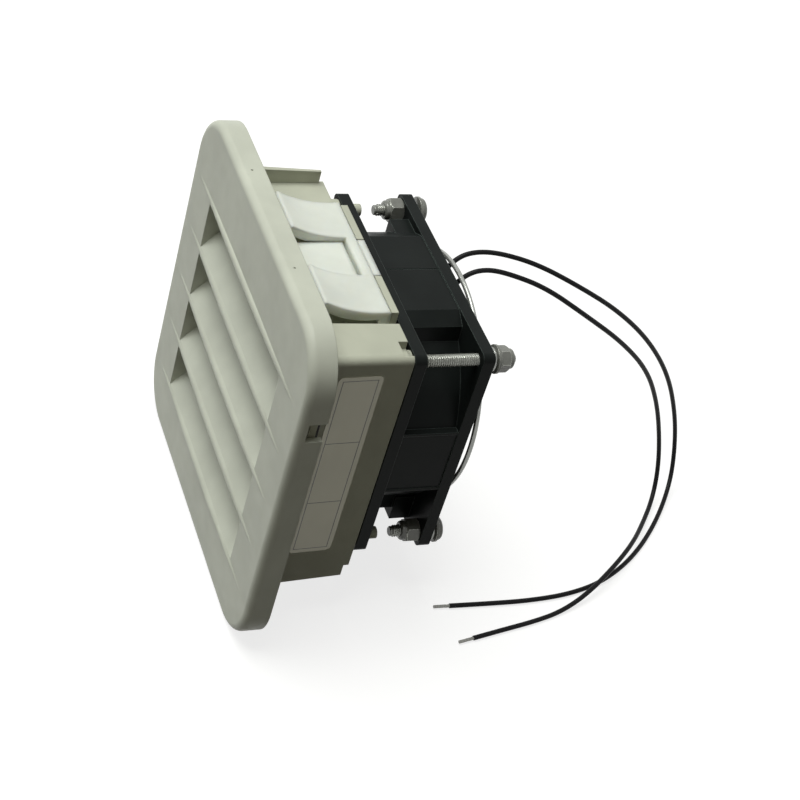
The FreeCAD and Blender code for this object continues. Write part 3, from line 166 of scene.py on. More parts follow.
class Shell(Nodes):
    """A material under construction, with its shader and the patterns that finishes share."""

    noise_range: Reach = (0.3, 0.7)
    # Cosines between the true and the bevelled normal that bound the band of painted edge highlights.
    highlight_band_cosine: Reach = (0.985, 0.9)
    edge_samples: int = 6

    def __init__(self, name: str) -> None:
        """Starts a material that holds one principled shader.

        Args:
            name: Name of the material.
        """
        self.material = bpy.data.materials.new(name)
        self.material.use_nodes = True
        super().__init__(self.material.node_tree)
        self.shader = self.tree.nodes["Principled BSDF"]

    def shade(self, **inputs: object) -> None:
        """Sets or links inputs of the shader."""
        self.fill(self.shader, inputs)

    def place(self) -> Socket:
        """Returns the piece's own coordinates, in metres."""
        return self.node("ShaderNodeTexCoord").outputs["Object"]

    def noise(self, scale: float, detail: float, stretch: Point = (1, 1, 1)) -> Socket:
        """Adds a noise over the piece.

        Args:
            scale: Grains per metre.
            detail: Octaves of the noise.
            stretch: Scale of the coordinates along X, Y and Z.

        Returns:
            The noise's value.
        """
        mapping = self.node("ShaderNodeMapping", Vector=self.place(), Scale=stretch)
        noise = self.node("ShaderNodeTexNoise", Vector=mapping.outputs["Vector"], Scale=scale, Detail=detail)
        return noise.outputs["Fac"]

    def ramp(self, value: Socket, reach: Reach, first: Colour, last: Colour) -> Socket:
        """Adds a ramp between two colours.

        Args:
            value: Value that drives the ramp.
            reach: Values at which the first and the last colour are full.
            first: Colour at the low end.
            last: Colour at the high end.

        Returns:
            The ramp's colour.
        """
        ramp = self.node("ShaderNodeValToRGB", Fac=value)
        for point, place, colour in zip(ramp.color_ramp.elements, reach, (first, last)):
            point.position = place
            point.color = (*colour, 1)
        return ramp.outputs["Color"]

    def span(self, value: Socket, low: float, high: float) -> Socket:
        """Maps the range that a noise keeps to onto two values.

        Args:
            value: Value between 0 and 1.
            low: Result at the low end.
            high: Result at the high end.

        Returns:
            The mapped value.
        """
        start, stop = self.noise_range
        span = self.node("ShaderNodeMapRange", Value=value, From_Min=start, From_Max=stop,
                         To_Min=low, To_Max=high)
        return span.outputs["Result"]

    def bump(self, height: Socket, depth: float, strength: float, under: Socket | None = None) -> Socket:
        """Adds a bump.

        Args:
            height: Height pattern.
            depth: Height of the pattern in metres.
            strength: Share of the bump that is used.
            under: Normal of a bevel beneath the bump.

        Returns:
            The bumped normal.
        """
        bump = self.node("ShaderNodeBump", Height=height, Distance=depth, Strength=strength)
        if under is not None:
            self.put(under, bump.inputs["Normal"])
        return bump.outputs["Normal"]

    def soft_edges(self, radius: float) -> Socket:
        """Rounds sharp edges in the shading.

        Args:
            radius: Radius of the rounding in metres.

        Returns:
            The rounded normal.
        """
        bevel = self.node("ShaderNodeBevel", Radius=radius)
        bevel.samples = self.edge_samples
        return bevel.outputs["Normal"]

    def highlight_band_mask(self, width: float) -> Socket:
        """Finds a band along sharp edges, where finishes paint edge highlights.

        Args:
            width: Width of the band in metres.

        Returns:
            A value of 0 on flats that rises to 1 along edges.
        """
        turn = self.node("ShaderNodeVectorMath")
        turn.operation = "DOT_PRODUCT"
        self.put(self.soft_edges(width), turn.inputs[0])
        self.put(self.node("ShaderNodeNewGeometry").outputs["Normal"], turn.inputs[1])
        flat, highlight_band = self.highlight_band_cosine
        share = self.node("ShaderNodeMapRange", Value=turn.outputs["Value"], From_Min=flat, From_Max=highlight_band)
        return share.outputs["Result"]

    def mix(self, share: Socket, base: Socket, over: Colour) -> Socket:
        """Lays a colour over another.

        Args:
            share: Share of the upper colour.
            base: Colour beneath.
            over: Colour on top.

        Returns:
            The mixed colour.
        """
        mix = self.node("ShaderNodeMixRGB", Fac=share, Color1=base, Color2=(*over, 1))
        return mix.outputs["Color"]


@dataclass(frozen=True)
class Finish:
    """A finish, with its name and its main colour."""

    name: str
    colour: Colour

    def material(self) -> Material:
        """Builds the finish's material.

        Returns:
            The material.
        """
        shell = Shell(self.name)
        self.pattern(shell)
        return shell.material

    def pattern(self, shell: Shell) -> None:
        """Adds what the finish shows to a material.

        Args:
            shell: Material under construction.
        """
        raise NotImplementedError


@dataclass(frozen=True)
class MouldedPlastic(Finish):
    """Injection-moulded plastic with a fine eroded grain, a faint flow mottle and a painted edge highlight.
    """

    roughness: float = 0.45
    unevenness: Reach = (-0.05, 0.06)
    gloss_scale: float = 240.0
    specular: float = 0.3
    grain: float = 2600.0
    grain_depth: float = 0.03 * MM
    mottle: float = 0.05
    mottle_scale: float = 70.0
    mottle_reach: Reach = (0.35, 0.65)
    edge: float = 0.35 * MM
    # Width of the band and share of the colour for the painted edge highlight; a share of 1 paints none.
    highlight_width: float = 0.25 * MM
    highlight_share: float = 1.0
    subsurface: float = 0.0
    subsurface_radius: Point = (4.0 * MM, 3.6 * MM, 3.0 * MM)
    subsurface_scale: float = 0.5

    def pattern(self, shell: Shell) -> None:
        """Adds the mottle, the uneven gloss, the grain, the soft edges and the painted edge highlight.

        Args:
            shell: Material under construction.
        """
        dark, light = tint(self.colour, 1 - self.mottle), tint(self.colour, 1 + self.mottle)
        clouds = shell.noise(self.mottle_scale, detail=5)
        colour = shell.ramp(clouds, self.mottle_reach, dark, light)
        # Painted highlight: the band along the edges is painted a share of the colour lighter.
        if self.highlight_share != 1.0:
            colour = shell.mix(shell.highlight_band_mask(self.highlight_width), colour, tint(self.colour, self.highlight_share))
        smooth, rough = (self.roughness + change for change in self.unevenness)
        gloss = shell.span(shell.noise(self.gloss_scale, detail=4), smooth, rough)
        grain = shell.noise(self.grain, detail=2)
        normal = shell.bump(grain, self.grain_depth, strength=0.5, under=shell.soft_edges(self.edge))
        shell.shade(Base_Color=colour, Roughness=gloss, Normal=normal, Specular_IOR_Level=self.specular)
        if self.subsurface:
            shell.shade(Subsurface_Weight=self.subsurface, Subsurface_Radius=self.subsurface_radius,
                        Subsurface_Scale=self.subsurface_scale)


@dataclass(frozen=True)
class PlatedMetal(Finish):
    """Bright plated metal with fine drawing marks, a cloudy sheen and painted edge glints."""

    roughness: float = 0.2
    unevenness: Reach = (-0.06, 0.12)
    gloss_scale: float = 900.0
    metallic: float = 1.0
    dullness: float = 0.86
    cloud_scale: float = 420.0
    cloud_reach: Reach = (0.38, 0.6)
    marks: Point = (1.0, 0.08, 1.0)
    mark_scale: float = 5200.0
    mark_depth: float = 0.012 * MM
    edge: float = 0.08 * MM
    # Width of the edge band and share of the colour for the painted edge glints; a share of 1 paints none.
    glint_width: float = 0.25 * MM
    glint_share: float = 1.0

    def pattern(self, shell: Shell) -> None:
        """Adds the cloudy sheen, the marks and the painted edge glints.

        Args:
            shell: Material under construction.
        """
        # Painted highlight: a band along the edges turns fully metallic and is painted a share of the colour
        # brighter.
        highlight_band = shell.highlight_band_mask(self.glint_width)
        shell.shade(Metallic=self.metallic)
        if self.metallic < 1.0:
            shell.shade(Metallic=shell.calculate("MAXIMUM", highlight_band, self.metallic))
        clouds = shell.noise(self.cloud_scale, detail=4)
        colour = shell.ramp(clouds, self.cloud_reach, tint(self.colour, self.dullness), self.colour)
        colour = shell.mix(highlight_band, colour, tint(self.colour, self.glint_share))
        smooth, rough = (self.roughness + change for change in self.unevenness)
        gloss = shell.span(shell.noise(self.gloss_scale, detail=3, stretch=self.marks), smooth, rough)
        marks = shell.noise(self.mark_scale, detail=2, stretch=self.marks)
        normal = shell.bump(marks, self.mark_depth, strength=0.4, under=shell.soft_edges(self.edge))
        shell.shade(Base_Color=colour, Roughness=gloss, Normal=normal)


@dataclass(frozen=True)
class FleeceFinish(Finish):
    """Non-woven white fleece with crossing fibres."""

    shadow: float = 0.72
    fibres: float = 900.0
    upright: Point = (1.0, 1.0, 0.12)
    sideways: Point = (0.12, 1.0, 1.0)
    fibre_reach: Reach = (0.42, 0.62)
    fibre_depth: float = 0.4 * MM

    def pattern(self, shell: Shell) -> None:
        """Adds the two crossing layers of fibres.

        Args:
            shell: Material under construction.
        """
        layers = [shell.noise(self.fibres, detail=6, stretch=way) for way in (self.upright, self.sideways)]
        fibres = shell.calculate("MAXIMUM", *layers)
        colour = shell.ramp(fibres, self.fibre_reach, tint(self.colour, self.shadow), self.colour)
        normal = shell.bump(fibres, self.fibre_depth, strength=0.9)
        shell.shade(Base_Color=colour, Normal=normal, Roughness=0.95, Sheen_Weight=0.25,
                    Specular_IOR_Level=0.1)


@dataclass(frozen=True)
class FoamFinish(Finish):
    """Closed-cell foam or soft rubber with a skin of small cells."""

    cells: float = 1400.0
    cell_depth: float = 0.12 * MM
    roughness: float = 0.85
    paleness: float = 1.5
    cloud_scale: float = 300.0
    cloud_reach: Reach = (0.35, 0.7)

    def pattern(self, shell: Shell) -> None:
        """Adds the cells and the cloudy skin.

        Args:
            shell: Material under construction.
        """
        cells = shell.node("ShaderNodeTexVoronoi", Vector=shell.place(), Scale=self.cells)
        clouds = shell.noise(self.cloud_scale, detail=5)
        colour = shell.ramp(clouds, self.cloud_reach, self.colour, tint(self.colour, self.paleness))
        normal = shell.bump(cells.outputs["Distance"], self.cell_depth, strength=0.6)
        shell.shade(Base_Color=colour, Normal=normal, Roughness=self.roughness, Specular_IOR_Level=0.25)


@dataclass(frozen=True)
class FoilFinish(Finish):
    """Sticker foil with a thin printed frame and two rules, bare inside."""

    sheet: str
    ink: Colour = (0.10, 0.10, 0.09)
    inset: float = 1.5 * MM
    line: float = 0.3 * MM
    rules: tuple[float, ...] = (0.3, 0.64)
    dullness: float = 0.93
    cloud_scale: float = 55.0
    cloud_reach: Reach = (0.35, 0.65)
    brush_scale: float = 700.0
    brush: Point = (1.0, 1.0, 0.06)
    roughness: Reach = (0.32, 0.44)
    ripple_scale: float = 160.0
    ripple_depth: float = 0.03 * MM

    def printed(self, shell: Shell) -> Socket:
        """Adds a value that is 1 on the printed lines.

        Args:
            shell: Material under construction.

        Returns:
            The value.
        """
        low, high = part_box(self.sheet)
        axes = shell.node("ShaderNodeSeparateXYZ", Vector=shell.place())
        across, along = axes.outputs["Y"], axes.outputs["Z"]
        sides = ((across, low[1]), (high[1], across), (along, low[2]), (high[2], along))
        margin, *others = [shell.calculate("SUBTRACT", *side) for side in sides]
        for other in others:
            margin = shell.calculate("MINIMUM", margin, other)
        printed = shell.calculate("COMPARE", margin, self.inset, self.line / 2)
        inside = shell.calculate("GREATER_THAN", margin, self.inset)
        for share in self.rules:
            height = low[2] + share * (high[2] - low[2])
            rule = shell.calculate("COMPARE", along, height, self.line / 2)
            printed = shell.calculate("MAXIMUM", printed, shell.calculate("MULTIPLY", rule, inside))
        return printed

    def pattern(self, shell: Shell) -> None:
        """Adds the printed lines, the brushed gloss and the ripples.

        Args:
            shell: Material under construction.
        """
        clouds = shell.noise(self.cloud_scale, detail=4)
        colour = shell.ramp(clouds, self.cloud_reach, tint(self.colour, self.dullness), self.colour)
        colour = shell.mix(self.printed(shell), colour, self.ink)
        gloss = shell.span(shell.noise(self.brush_scale, detail=3, stretch=self.brush), *self.roughness)
        normal = shell.bump(shell.noise(self.ripple_scale, detail=2), self.ripple_depth, strength=0.4)
        shell.shade(Base_Color=colour, Roughness=gloss, Normal=normal, Metallic=0.15)


@dataclass(frozen=True)
class WoundCopper(Finish):
    """Varnished copper wire laid turn beside turn."""

    turns: float = 900.0
    sway: float = 1.5
    shadow: float = 0.45
    turn_reach: Reach = (0.2, 0.7)
    turn_depth: float = 0.1 * MM

    def pattern(self, shell: Shell) -> None:
        """Adds the turns of wire.

        Args:
            shell: Material under construction.
        """
        wave = shell.node("ShaderNodeTexWave", Vector=shell.place(), Scale=self.turns, Distortion=self.sway)
        turns = wave.outputs["Fac"]
        colour = shell.ramp(turns, self.turn_reach, tint(self.colour, self.shadow), self.colour)
        normal = shell.bump(turns, self.turn_depth, strength=0.7)
        shell.shade(Base_Color=colour, Normal=normal, Metallic=0.8, Roughness=0.35)


FINISHES: dict[Slot, Finish] = {
    Slot.COVER: MouldedPlastic("light_grey_cover", (0.60, 0.62, 0.535)),
    Slot.FRAME: MouldedPlastic("beige_grey_frame", (0.56, 0.575, 0.475), roughness=0.5, specular=0.14),
    Slot.LATCH: MouldedPlastic("white_nylon", (0.82, 0.85, 0.79), roughness=0.4, subsurface=0.6,
                               edge=2.0 * MM),
    Slot.GASKET: FoamFinish("dark_foam", (0.05, 0.05, 0.05)),
    Slot.FLEECE: FleeceFinish("white_fleece", (0.78, 0.78, 0.74)),
    Slot.STICKER: FoilFinish("bare_foil", (0.49, 0.475, 0.37), "rating_sticker"),
    # The black fan's edges are painted nine times lighter, a painted highlight along the flange edges.
    Slot.FAN: MouldedPlastic("black_fan_plastic", (0.011, 0.0135, 0.0128), roughness=0.35, specular=0.06,
                             grain=1500.0, mottle=0.15, highlight_share=9.0),
    Slot.MOTOR: PlatedMetal("turned_steel", (0.55, 0.55, 0.54), roughness=0.3),
    Slot.BRASS: PlatedMetal("turned_brass", (0.62, 0.46, 0.22), roughness=0.28),
    Slot.STATOR: PlatedMetal("iron_sheets", (0.20, 0.20, 0.21), roughness=0.5, marks=(0.1, 1.0, 0.1)),
    Slot.COPPER: WoundCopper("varnished_copper", (0.52, 0.22, 0.09)),
    Slot.GUARD: PlatedMetal("bright_wire", (0.40, 0.41, 0.39), roughness=0.16, metallic=0.5),
    # The zinc's edges are painted three times brighter and turn fully metallic, a painted glint along nut and
    # bolt edges.
    Slot.ZINC: PlatedMetal("zinc_plate", (0.21, 0.215, 0.195), roughness=0.2, metallic=0.06,
                           glint_width=0.18 * MM, glint_share=3.0),
    Slot.GROMMET: FoamFinish("black_rubber", (0.012, 0.012, 0.012), cells=4000.0, roughness=0.6),
    Slot.LEAD: MouldedPlastic("black_insulation", (0.010, 0.010, 0.011), roughness=0.38, specular=0.1,
                              grain=5000.0, mottle=0.2, edge=0.1 * MM),
    Slot.TINNED: PlatedMetal("tinned_strand", (0.27, 0.27, 0.25), roughness=0.25, metallic=0.6,
                             marks=(1.0, 1.0, 1.0)),
}


class Workbench:
    """Modelling steps that the pieces share."""

    plane_gap: float = 0.0001 * MM
    place_gap: float = 0.001 * MM

    @staticmethod
    def deselect() -> None:
        """Deselects everything."""
        if bpy.context.mode != "OBJECT":
            bpy.ops.object.mode_set(mode="OBJECT")
        bpy.ops.object.select_all(action="DESELECT")

    @staticmethod
    def settle(name: str) -> Piece:
        """Names the active object and moves its place into its mesh.

        Args:
            name: Name of the piece.

        Returns:
            The piece.
        """
        piece = bpy.context.object
        piece.name = name
        piece.data.name = name
        bpy.ops.object.transform_apply(location=True, rotation=True, scale=True)
        return piece

    @classmethod
    def rod(cls, name: str, centre: Point, radius: float, length: float, corners: int = 48) -> Piece:
        """Adds a cylinder along Y.

        Args:
            name: Name of the piece.
            centre: Middle of the cylinder in metres.
            radius: Radius in metres.
            length: Length in metres.
            corners: Number of sides.

        Returns:
            The cylinder.
        """
        cls.deselect()
        bpy.ops.mesh.primitive_cylinder_add(vertices=corners, radius=radius, depth=length, location=centre,
                                            rotation=(math.pi / 2, 0, 0))
        return cls.settle(name)

    @classmethod
    def block(cls, name: str, low: Point, high: Point) -> Piece:
        """Adds a box between two corners.

        Args:
            name: Name of the piece.
            low: Lowest corner in metres.
            high: Highest corner in metres.

        Returns:
            The box.
        """
        cls.deselect()
        middle = [(a + b) / 2 for a, b in zip(low, high)]
        bpy.ops.mesh.primitive_cube_add(size=1, location=middle, scale=[b - a for a, b in zip(low, high)])
        return cls.settle(name)

    @classmethod
    def activate(cls, piece: Piece) -> None:
        """Makes a piece the only selected and active object.

        Args:
            piece: Piece to work on.
        """
        cls.deselect()
        piece.select_set(True)
        bpy.context.view_layer.objects.active = piece

    @classmethod
    def apply(cls, piece: Piece, kind: str, **settings: object) -> Piece:
        """Adds a modifier and applies it.

        Args:
            piece: Piece to change.
            kind: Blender's name of the modifier type.
            settings: Values of the modifier's properties.

        Returns:
            The changed piece.
        """
        cls.activate(piece)
        modifier = piece.modifiers.new(kind.lower(), kind)
        for name, value in settings.items():
            setattr(modifier, name, value)
        bpy.ops.object.modifier_apply(modifier=modifier.name)
        return piece

    @classmethod
    def carve(cls, piece: Piece, tool: Piece, way: Combine) -> Piece:
        """Combines a piece with a tool and removes the tool.

        Args:
            piece: Piece to change.
            tool: Closed mesh to combine it with.
            way: How the two are combined.

        Returns:
            The changed piece.
        """
        cls.apply(piece, "BOOLEAN", operation=way.value, object=tool, solver="EXACT")
        bpy.data.objects.remove(tool)
        return piece

    @classmethod
    def bevel(cls, piece: Piece, width: float, segments: int = 2, angle: float = 35) -> Piece:
        """Bevels a piece's sharp edges.

        Args:
            piece: Piece to change.
            width: Width of the bevel in metres.
            segments: Faces across the bevel.
            angle: Smallest turn, in degrees, that counts as an edge.

        Returns:
            The changed piece.
        """
        return cls.apply(piece, "BEVEL", width=width, segments=segments, limit_method="ANGLE",
                         angle_limit=math.radians(angle))

    @classmethod
    def join(cls, name: str, pieces: Sequence[Piece]) -> Piece:
        """Joins pieces into one object.

        Args:
            name: Name of the joined piece.
            pieces: Pieces to join.

        Returns:
            The joined piece.
        """
        cls.deselect()
        for piece in pieces:
            piece.select_set(True)
        bpy.context.view_layer.objects.active = pieces[0]
        bpy.ops.object.join()
        return cls.settle(name)

    @classmethod
    def smooth(cls, piece: Piece, angle: float) -> Piece:
        """Shades a piece smooth.

        Args:
            piece: Piece to change.
            angle: Smallest turn, in degrees, that stays sharp.

        Returns:
            The changed piece.
        """
        cls.activate(piece)
        bpy.ops.object.shade_smooth_by_angle(angle=math.radians(angle))
        return piece

    @classmethod
    def edit(cls, piece: Piece, element: Element, test: Callable[[object], bool]) -> None:
        """Enters edit mode with the faces or edges selected that pass a test.

        Args:
            piece: Piece to edit.
            element: Kind of element to select.
            test: Tells whether a polygon or edge is selected.
        """
        cls.activate(piece)
        bpy.ops.object.mode_set(mode="EDIT")
        bpy.ops.mesh.select_mode(type=element.value)
        bpy.ops.mesh.select_all(action="DESELECT")
        bpy.ops.object.mode_set(mode="OBJECT")
        for item in {Element.FACE: piece.data.polygons, Element.EDGE: piece.data.edges}[element]:
            item.select = test(item)
        bpy.ops.object.mode_set(mode="EDIT")

    @classmethod
    def edit_all(cls, piece: Piece) -> None:
        """Enters edit mode with the whole piece selected.

        Args:
            piece: Piece to edit.
        """
        cls.activate(piece)
        bpy.ops.object.mode_set(mode="EDIT")
        bpy.ops.mesh.select_all(action="SELECT")

    @staticmethod
    def leave_edit() -> None:
        """Goes back to object mode."""
        bpy.ops.object.mode_set(mode="OBJECT")

    @classmethod
    def round_edges(cls, piece: Piece, test: Callable[[object], bool], width: float, segments: int) -> None:
        """Bevels the edges that pass a test.

        Args:
            piece: Piece to change.
            test: Tells whether an edge is bevelled.
            width: Width of the bevel in metres.
            segments: Faces across the bevel.
        """
        cls.edit(piece, Element.EDGE, test)
        bpy.ops.mesh.bevel(offset=width, segments=segments, affect="EDGES")
        cls.leave_edit()

    @classmethod
    def across(cls, piece: Piece, edge: bpy.types.MeshEdge) -> bool:
        """Tells whether an edge lies in one plane across Y."""
        first, last = (piece.data.vertices[index].co for index in edge.vertices)
        return abs(first.y - last.y) < cls.plane_gap

    @classmethod
    def around(cls, piece: Piece, edge: bpy.types.MeshEdge, place: float) -> bool:
        """Tells whether an edge lies in the plane across Y at a place."""
        start = piece.data.vertices[edge.vertices[0]].co
        return cls.across(piece, edge) and abs(start.y - place) < cls.place_gap


@dataclass
class Assembly:
    """A sub-assembly that is modelled and dressed as a whole."""

    materials: dict[Slot, Material]

    def build(self) -> None:
        """Builds, dresses and hands over every piece."""
        raise NotImplementedError

    def dress(self, piece: Piece, slot: Slot) -> None:
        """Gives a piece the material of a slot."""
        piece.data.materials.clear()
        piece.data.materials.append(self.materials[slot])

    def hand_over(self, piece: Piece, slot: Slot, body: Body, *nodes: str) -> None:
        """Dresses a finished piece and lets it stand for CAD nodes on a body.

        Args:
            piece: Finished piece.
            slot: Slot of the finish.
            body: Body that the piece rides on.
            nodes: Nodes that the piece replaces.
        """
        self.dress(piece, slot)
        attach(piece, body.value)
        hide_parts(*nodes)
        log.info("%s: %d faces", piece.name, len(getattr(piece.data, "polygons", ())))


@dataclass(frozen=True)
class Lamp:
    """A square area lamp that faces the object."""

    name: str
    way: Point
    distance: float
    size: float
    power: float
    colour: Colour

    def place(self, middle: Point) -> None:
        """Adds the lamp.

        Args:
            middle: Point that the lamp faces.
        """
        data = bpy.data.lights.new(self.name, "AREA")
        data.size = self.size
        data.energy = self.power
        data.color = self.colour
        lamp = bpy.data.objects.new(self.name, data)
        bpy.context.scene.collection.objects.link(lamp)
        way = Vector(self.way)
        spot = Vector(middle) + way.normalized() * self.distance
        lamp.matrix_world = Matrix.Translation(spot) @ way.to_track_quat("Z", "Y").to_matrix().to_4x4()


@dataclass
class Studio:
    """Camera, lights, floor and surroundings."""

    eye: Point = (398.937 * MM, -180.226 * MM, 365.489 * MM)
    right: Point = (0.3112, 0.9191, 0.2418)
    up: Point = (-0.67688, 0.03579, 0.73523)
    lens: float = 83.859
    sensor: float = 36.0
    clip_start: float = 10.0 * MM
    middle: Point = (0.0, 30 * MM, 0.0)
    lamps: tuple[Lamp, ...] = (
        Lamp("key_lamp", way=(-0.16, -0.25, 0.95), distance=1.6, size=1.1, power=23.8,
             colour=(0.98, 1.0, 0.955)),
        Lamp("front_lamp", way=(-0.55, -0.8, 0.25), distance=1.7, size=1.0, power=5.5,
             colour=(0.96, 1.0, 0.985)),
    )
    floor_height: float = -60.2 * MM
    floor_size: float = 2.4
    floor_bounce: Colour = (0.085, 0.079, 0.064)
    floor_shade: Colour = (0.38, 0.38, 0.38)
    floor_glow: float = 0.78
    haze: Colour = (1.0, 0.93, 0.77)
    haze_strength: float = 0.072
    white: Colour = (1.0, 1.0, 1.0)
    white_strength: float = 1.0

    def camera(self) -> None:
        """Places the camera of the photograph and makes it the scene's camera."""
        data = bpy.data.cameras.new("photo_camera")
        data.lens = self.lens
        data.sensor_width = self.sensor
        data.clip_start = self.clip_start
        camera = bpy.data.objects.new("photo_camera", data)
        bpy.context.scene.collection.objects.link(camera)
        right = Vector(self.right).normalized()
        back = right.cross(Vector(self.up)).normalized()
        up = back.cross(right)
        turn = Matrix((right, up, back)).transposed().to_4x4()
        camera.matrix_world = Matrix.Translation(self.eye) @ turn
        bpy.context.scene.camera = camera

    @staticmethod
    def empty_nodes(owner: Material | bpy.types.World) -> Nodes:
        """Turns on the nodes of a material or world and empties its tree.

        Args:
            owner: Material or world.

        Returns:
            The empty tree.
        """
        owner.use_nodes = True
        owner.node_tree.nodes.clear()
        return Nodes(owner.node_tree)

    @staticmethod
    def show(nodes: Nodes, output: str, lit: Socket, looked_at: Socket) -> None:
        """Shows one shader to the camera and in reflections, and lights the object with another.

        Args:
            nodes: Tree to add to.
            output: Blender's name of the output node's type.
            lit: Shader that lights the object.
            looked_at: Shader that is seen.
        """
        path = nodes.node("ShaderNodeLightPath")
        seen = path.outputs["Is Camera Ray"]
        for name in ("Is Glossy Ray", "Is Transmission Ray"):
            seen = nodes.calculate("MAXIMUM", seen, path.outputs[name])
        mix = nodes.node("ShaderNodeMixShader", Fac=seen)
        nodes.put(lit, mix.inputs[1])
        nodes.put(looked_at, mix.inputs[2])
        nodes.node(output, Surface=mix.outputs[0])

    def floor(self) -> None:
        """Lays a pale floor that keeps soft shadows."""
        Workbench.deselect()
        bpy.ops.mesh.primitive_plane_add(size=self.floor_size, location=(0, 0, self.floor_height))
        plane = Workbench.settle("floor")
        material = bpy.data.materials.new("pale_floor")
        nodes = self.empty_nodes(material)
        grey = nodes.node("ShaderNodeBsdfDiffuse", Color=(*self.floor_bounce, 1))
        glow = nodes.node("ShaderNodeEmission", Strength=self.floor_glow)
        shade = nodes.node("ShaderNodeBsdfDiffuse", Color=(*self.floor_shade, 1))
        pale = nodes.node("ShaderNodeAddShader")
        nodes.put(glow.outputs[0], pale.inputs[0])
        nodes.put(shade.outputs[0], pale.inputs[1])
        self.show(nodes, "ShaderNodeOutputMaterial", grey.outputs[0], pale.outputs[0])
        plane.data.materials.append(material)

    def surroundings(self) -> None:
        """Sets a white background and a dim even light from all around."""
        world = bpy.data.worlds.new("studio")
        bpy.context.scene.world = world
        nodes = self.empty_nodes(world)
        dim, white = (
            nodes.node("ShaderNodeBackground", Color=(*colour, 1), Strength=strength)
            for colour, strength in ((self.haze, self.haze_strength), (self.white, self.white_strength))
        )
        self.show(nodes, "ShaderNodeOutputWorld", dim.outputs[0], white.outputs[0])

    def build(self) -> None:
        """Builds the whole studio."""
        bpy.context.scene.view_settings.view_transform = "Standard"
        self.camera()
        for lamp in self.lamps:
            lamp.place(self.middle)
        self.floor()
        self.surroundings()


LEAD_ROUTES: dict[str, tuple[Point, ...]] = {
    "lead_a": (
        (-4.6, 56.7, 23.5), (-5.6, 56.8, 28.2), (-7.2, 58.6, 32.9), (-8.6, 63.2, 38.4),
        (-9.2, 69.5, 40.1), (-8.0, 77.5, 40.2), (-4.0, 89.0, 38.9), (0.1, 104.1, 33.0),
        (0.0, 121.2, 23.0), (-1.3, 138.5, 9.0), (-3.3, 154.1, -9.0), (-5.0, 165.5, -29.0),
        (-4.0, 171.6, -46.0), (3.1, 170.4, -57.0), (18.9, 158.1, -59.2), (33.8, 142.5, -59.2),
        (43.7, 126.4, -59.2), (48.0, 111.6, -59.2), (49.3, 96.2, -59.2), (49.1, 81.7, -59.2),
        (48.6, 67.4, -59.2),
    ),
    "lead_b": (
        (0.2, 56.7, 23.5), (0.4, 56.8, 28.2), (0.3, 58.6, 32.9), (0.0, 63.2, 38.8),
        (-0.3, 69.3, 40.2), (1.2, 76.3, 39.7), (4.9, 88.7, 36.9), (7.0, 105.0, 27.2),
        (6.6, 123.0, 15.0), (4.1, 139.1, 0.0), (0.9, 151.2, -18.0), (0.0, 159.5, -36.0),
        (2.5, 163.1, -50.0), (9.4, 160.4, -58.0), (21.5, 150.5, -57.2), (32.5, 140.5, -54.3),
        (42.0, 129.2, -54.3), (50.3, 116.5, -57.2), (55.3, 105.0, -59.2), (58.3, 93.5, -59.2),
        (60.4, 82.0, -59.2), (62.6, 70.8, -59.2),
    ),
}


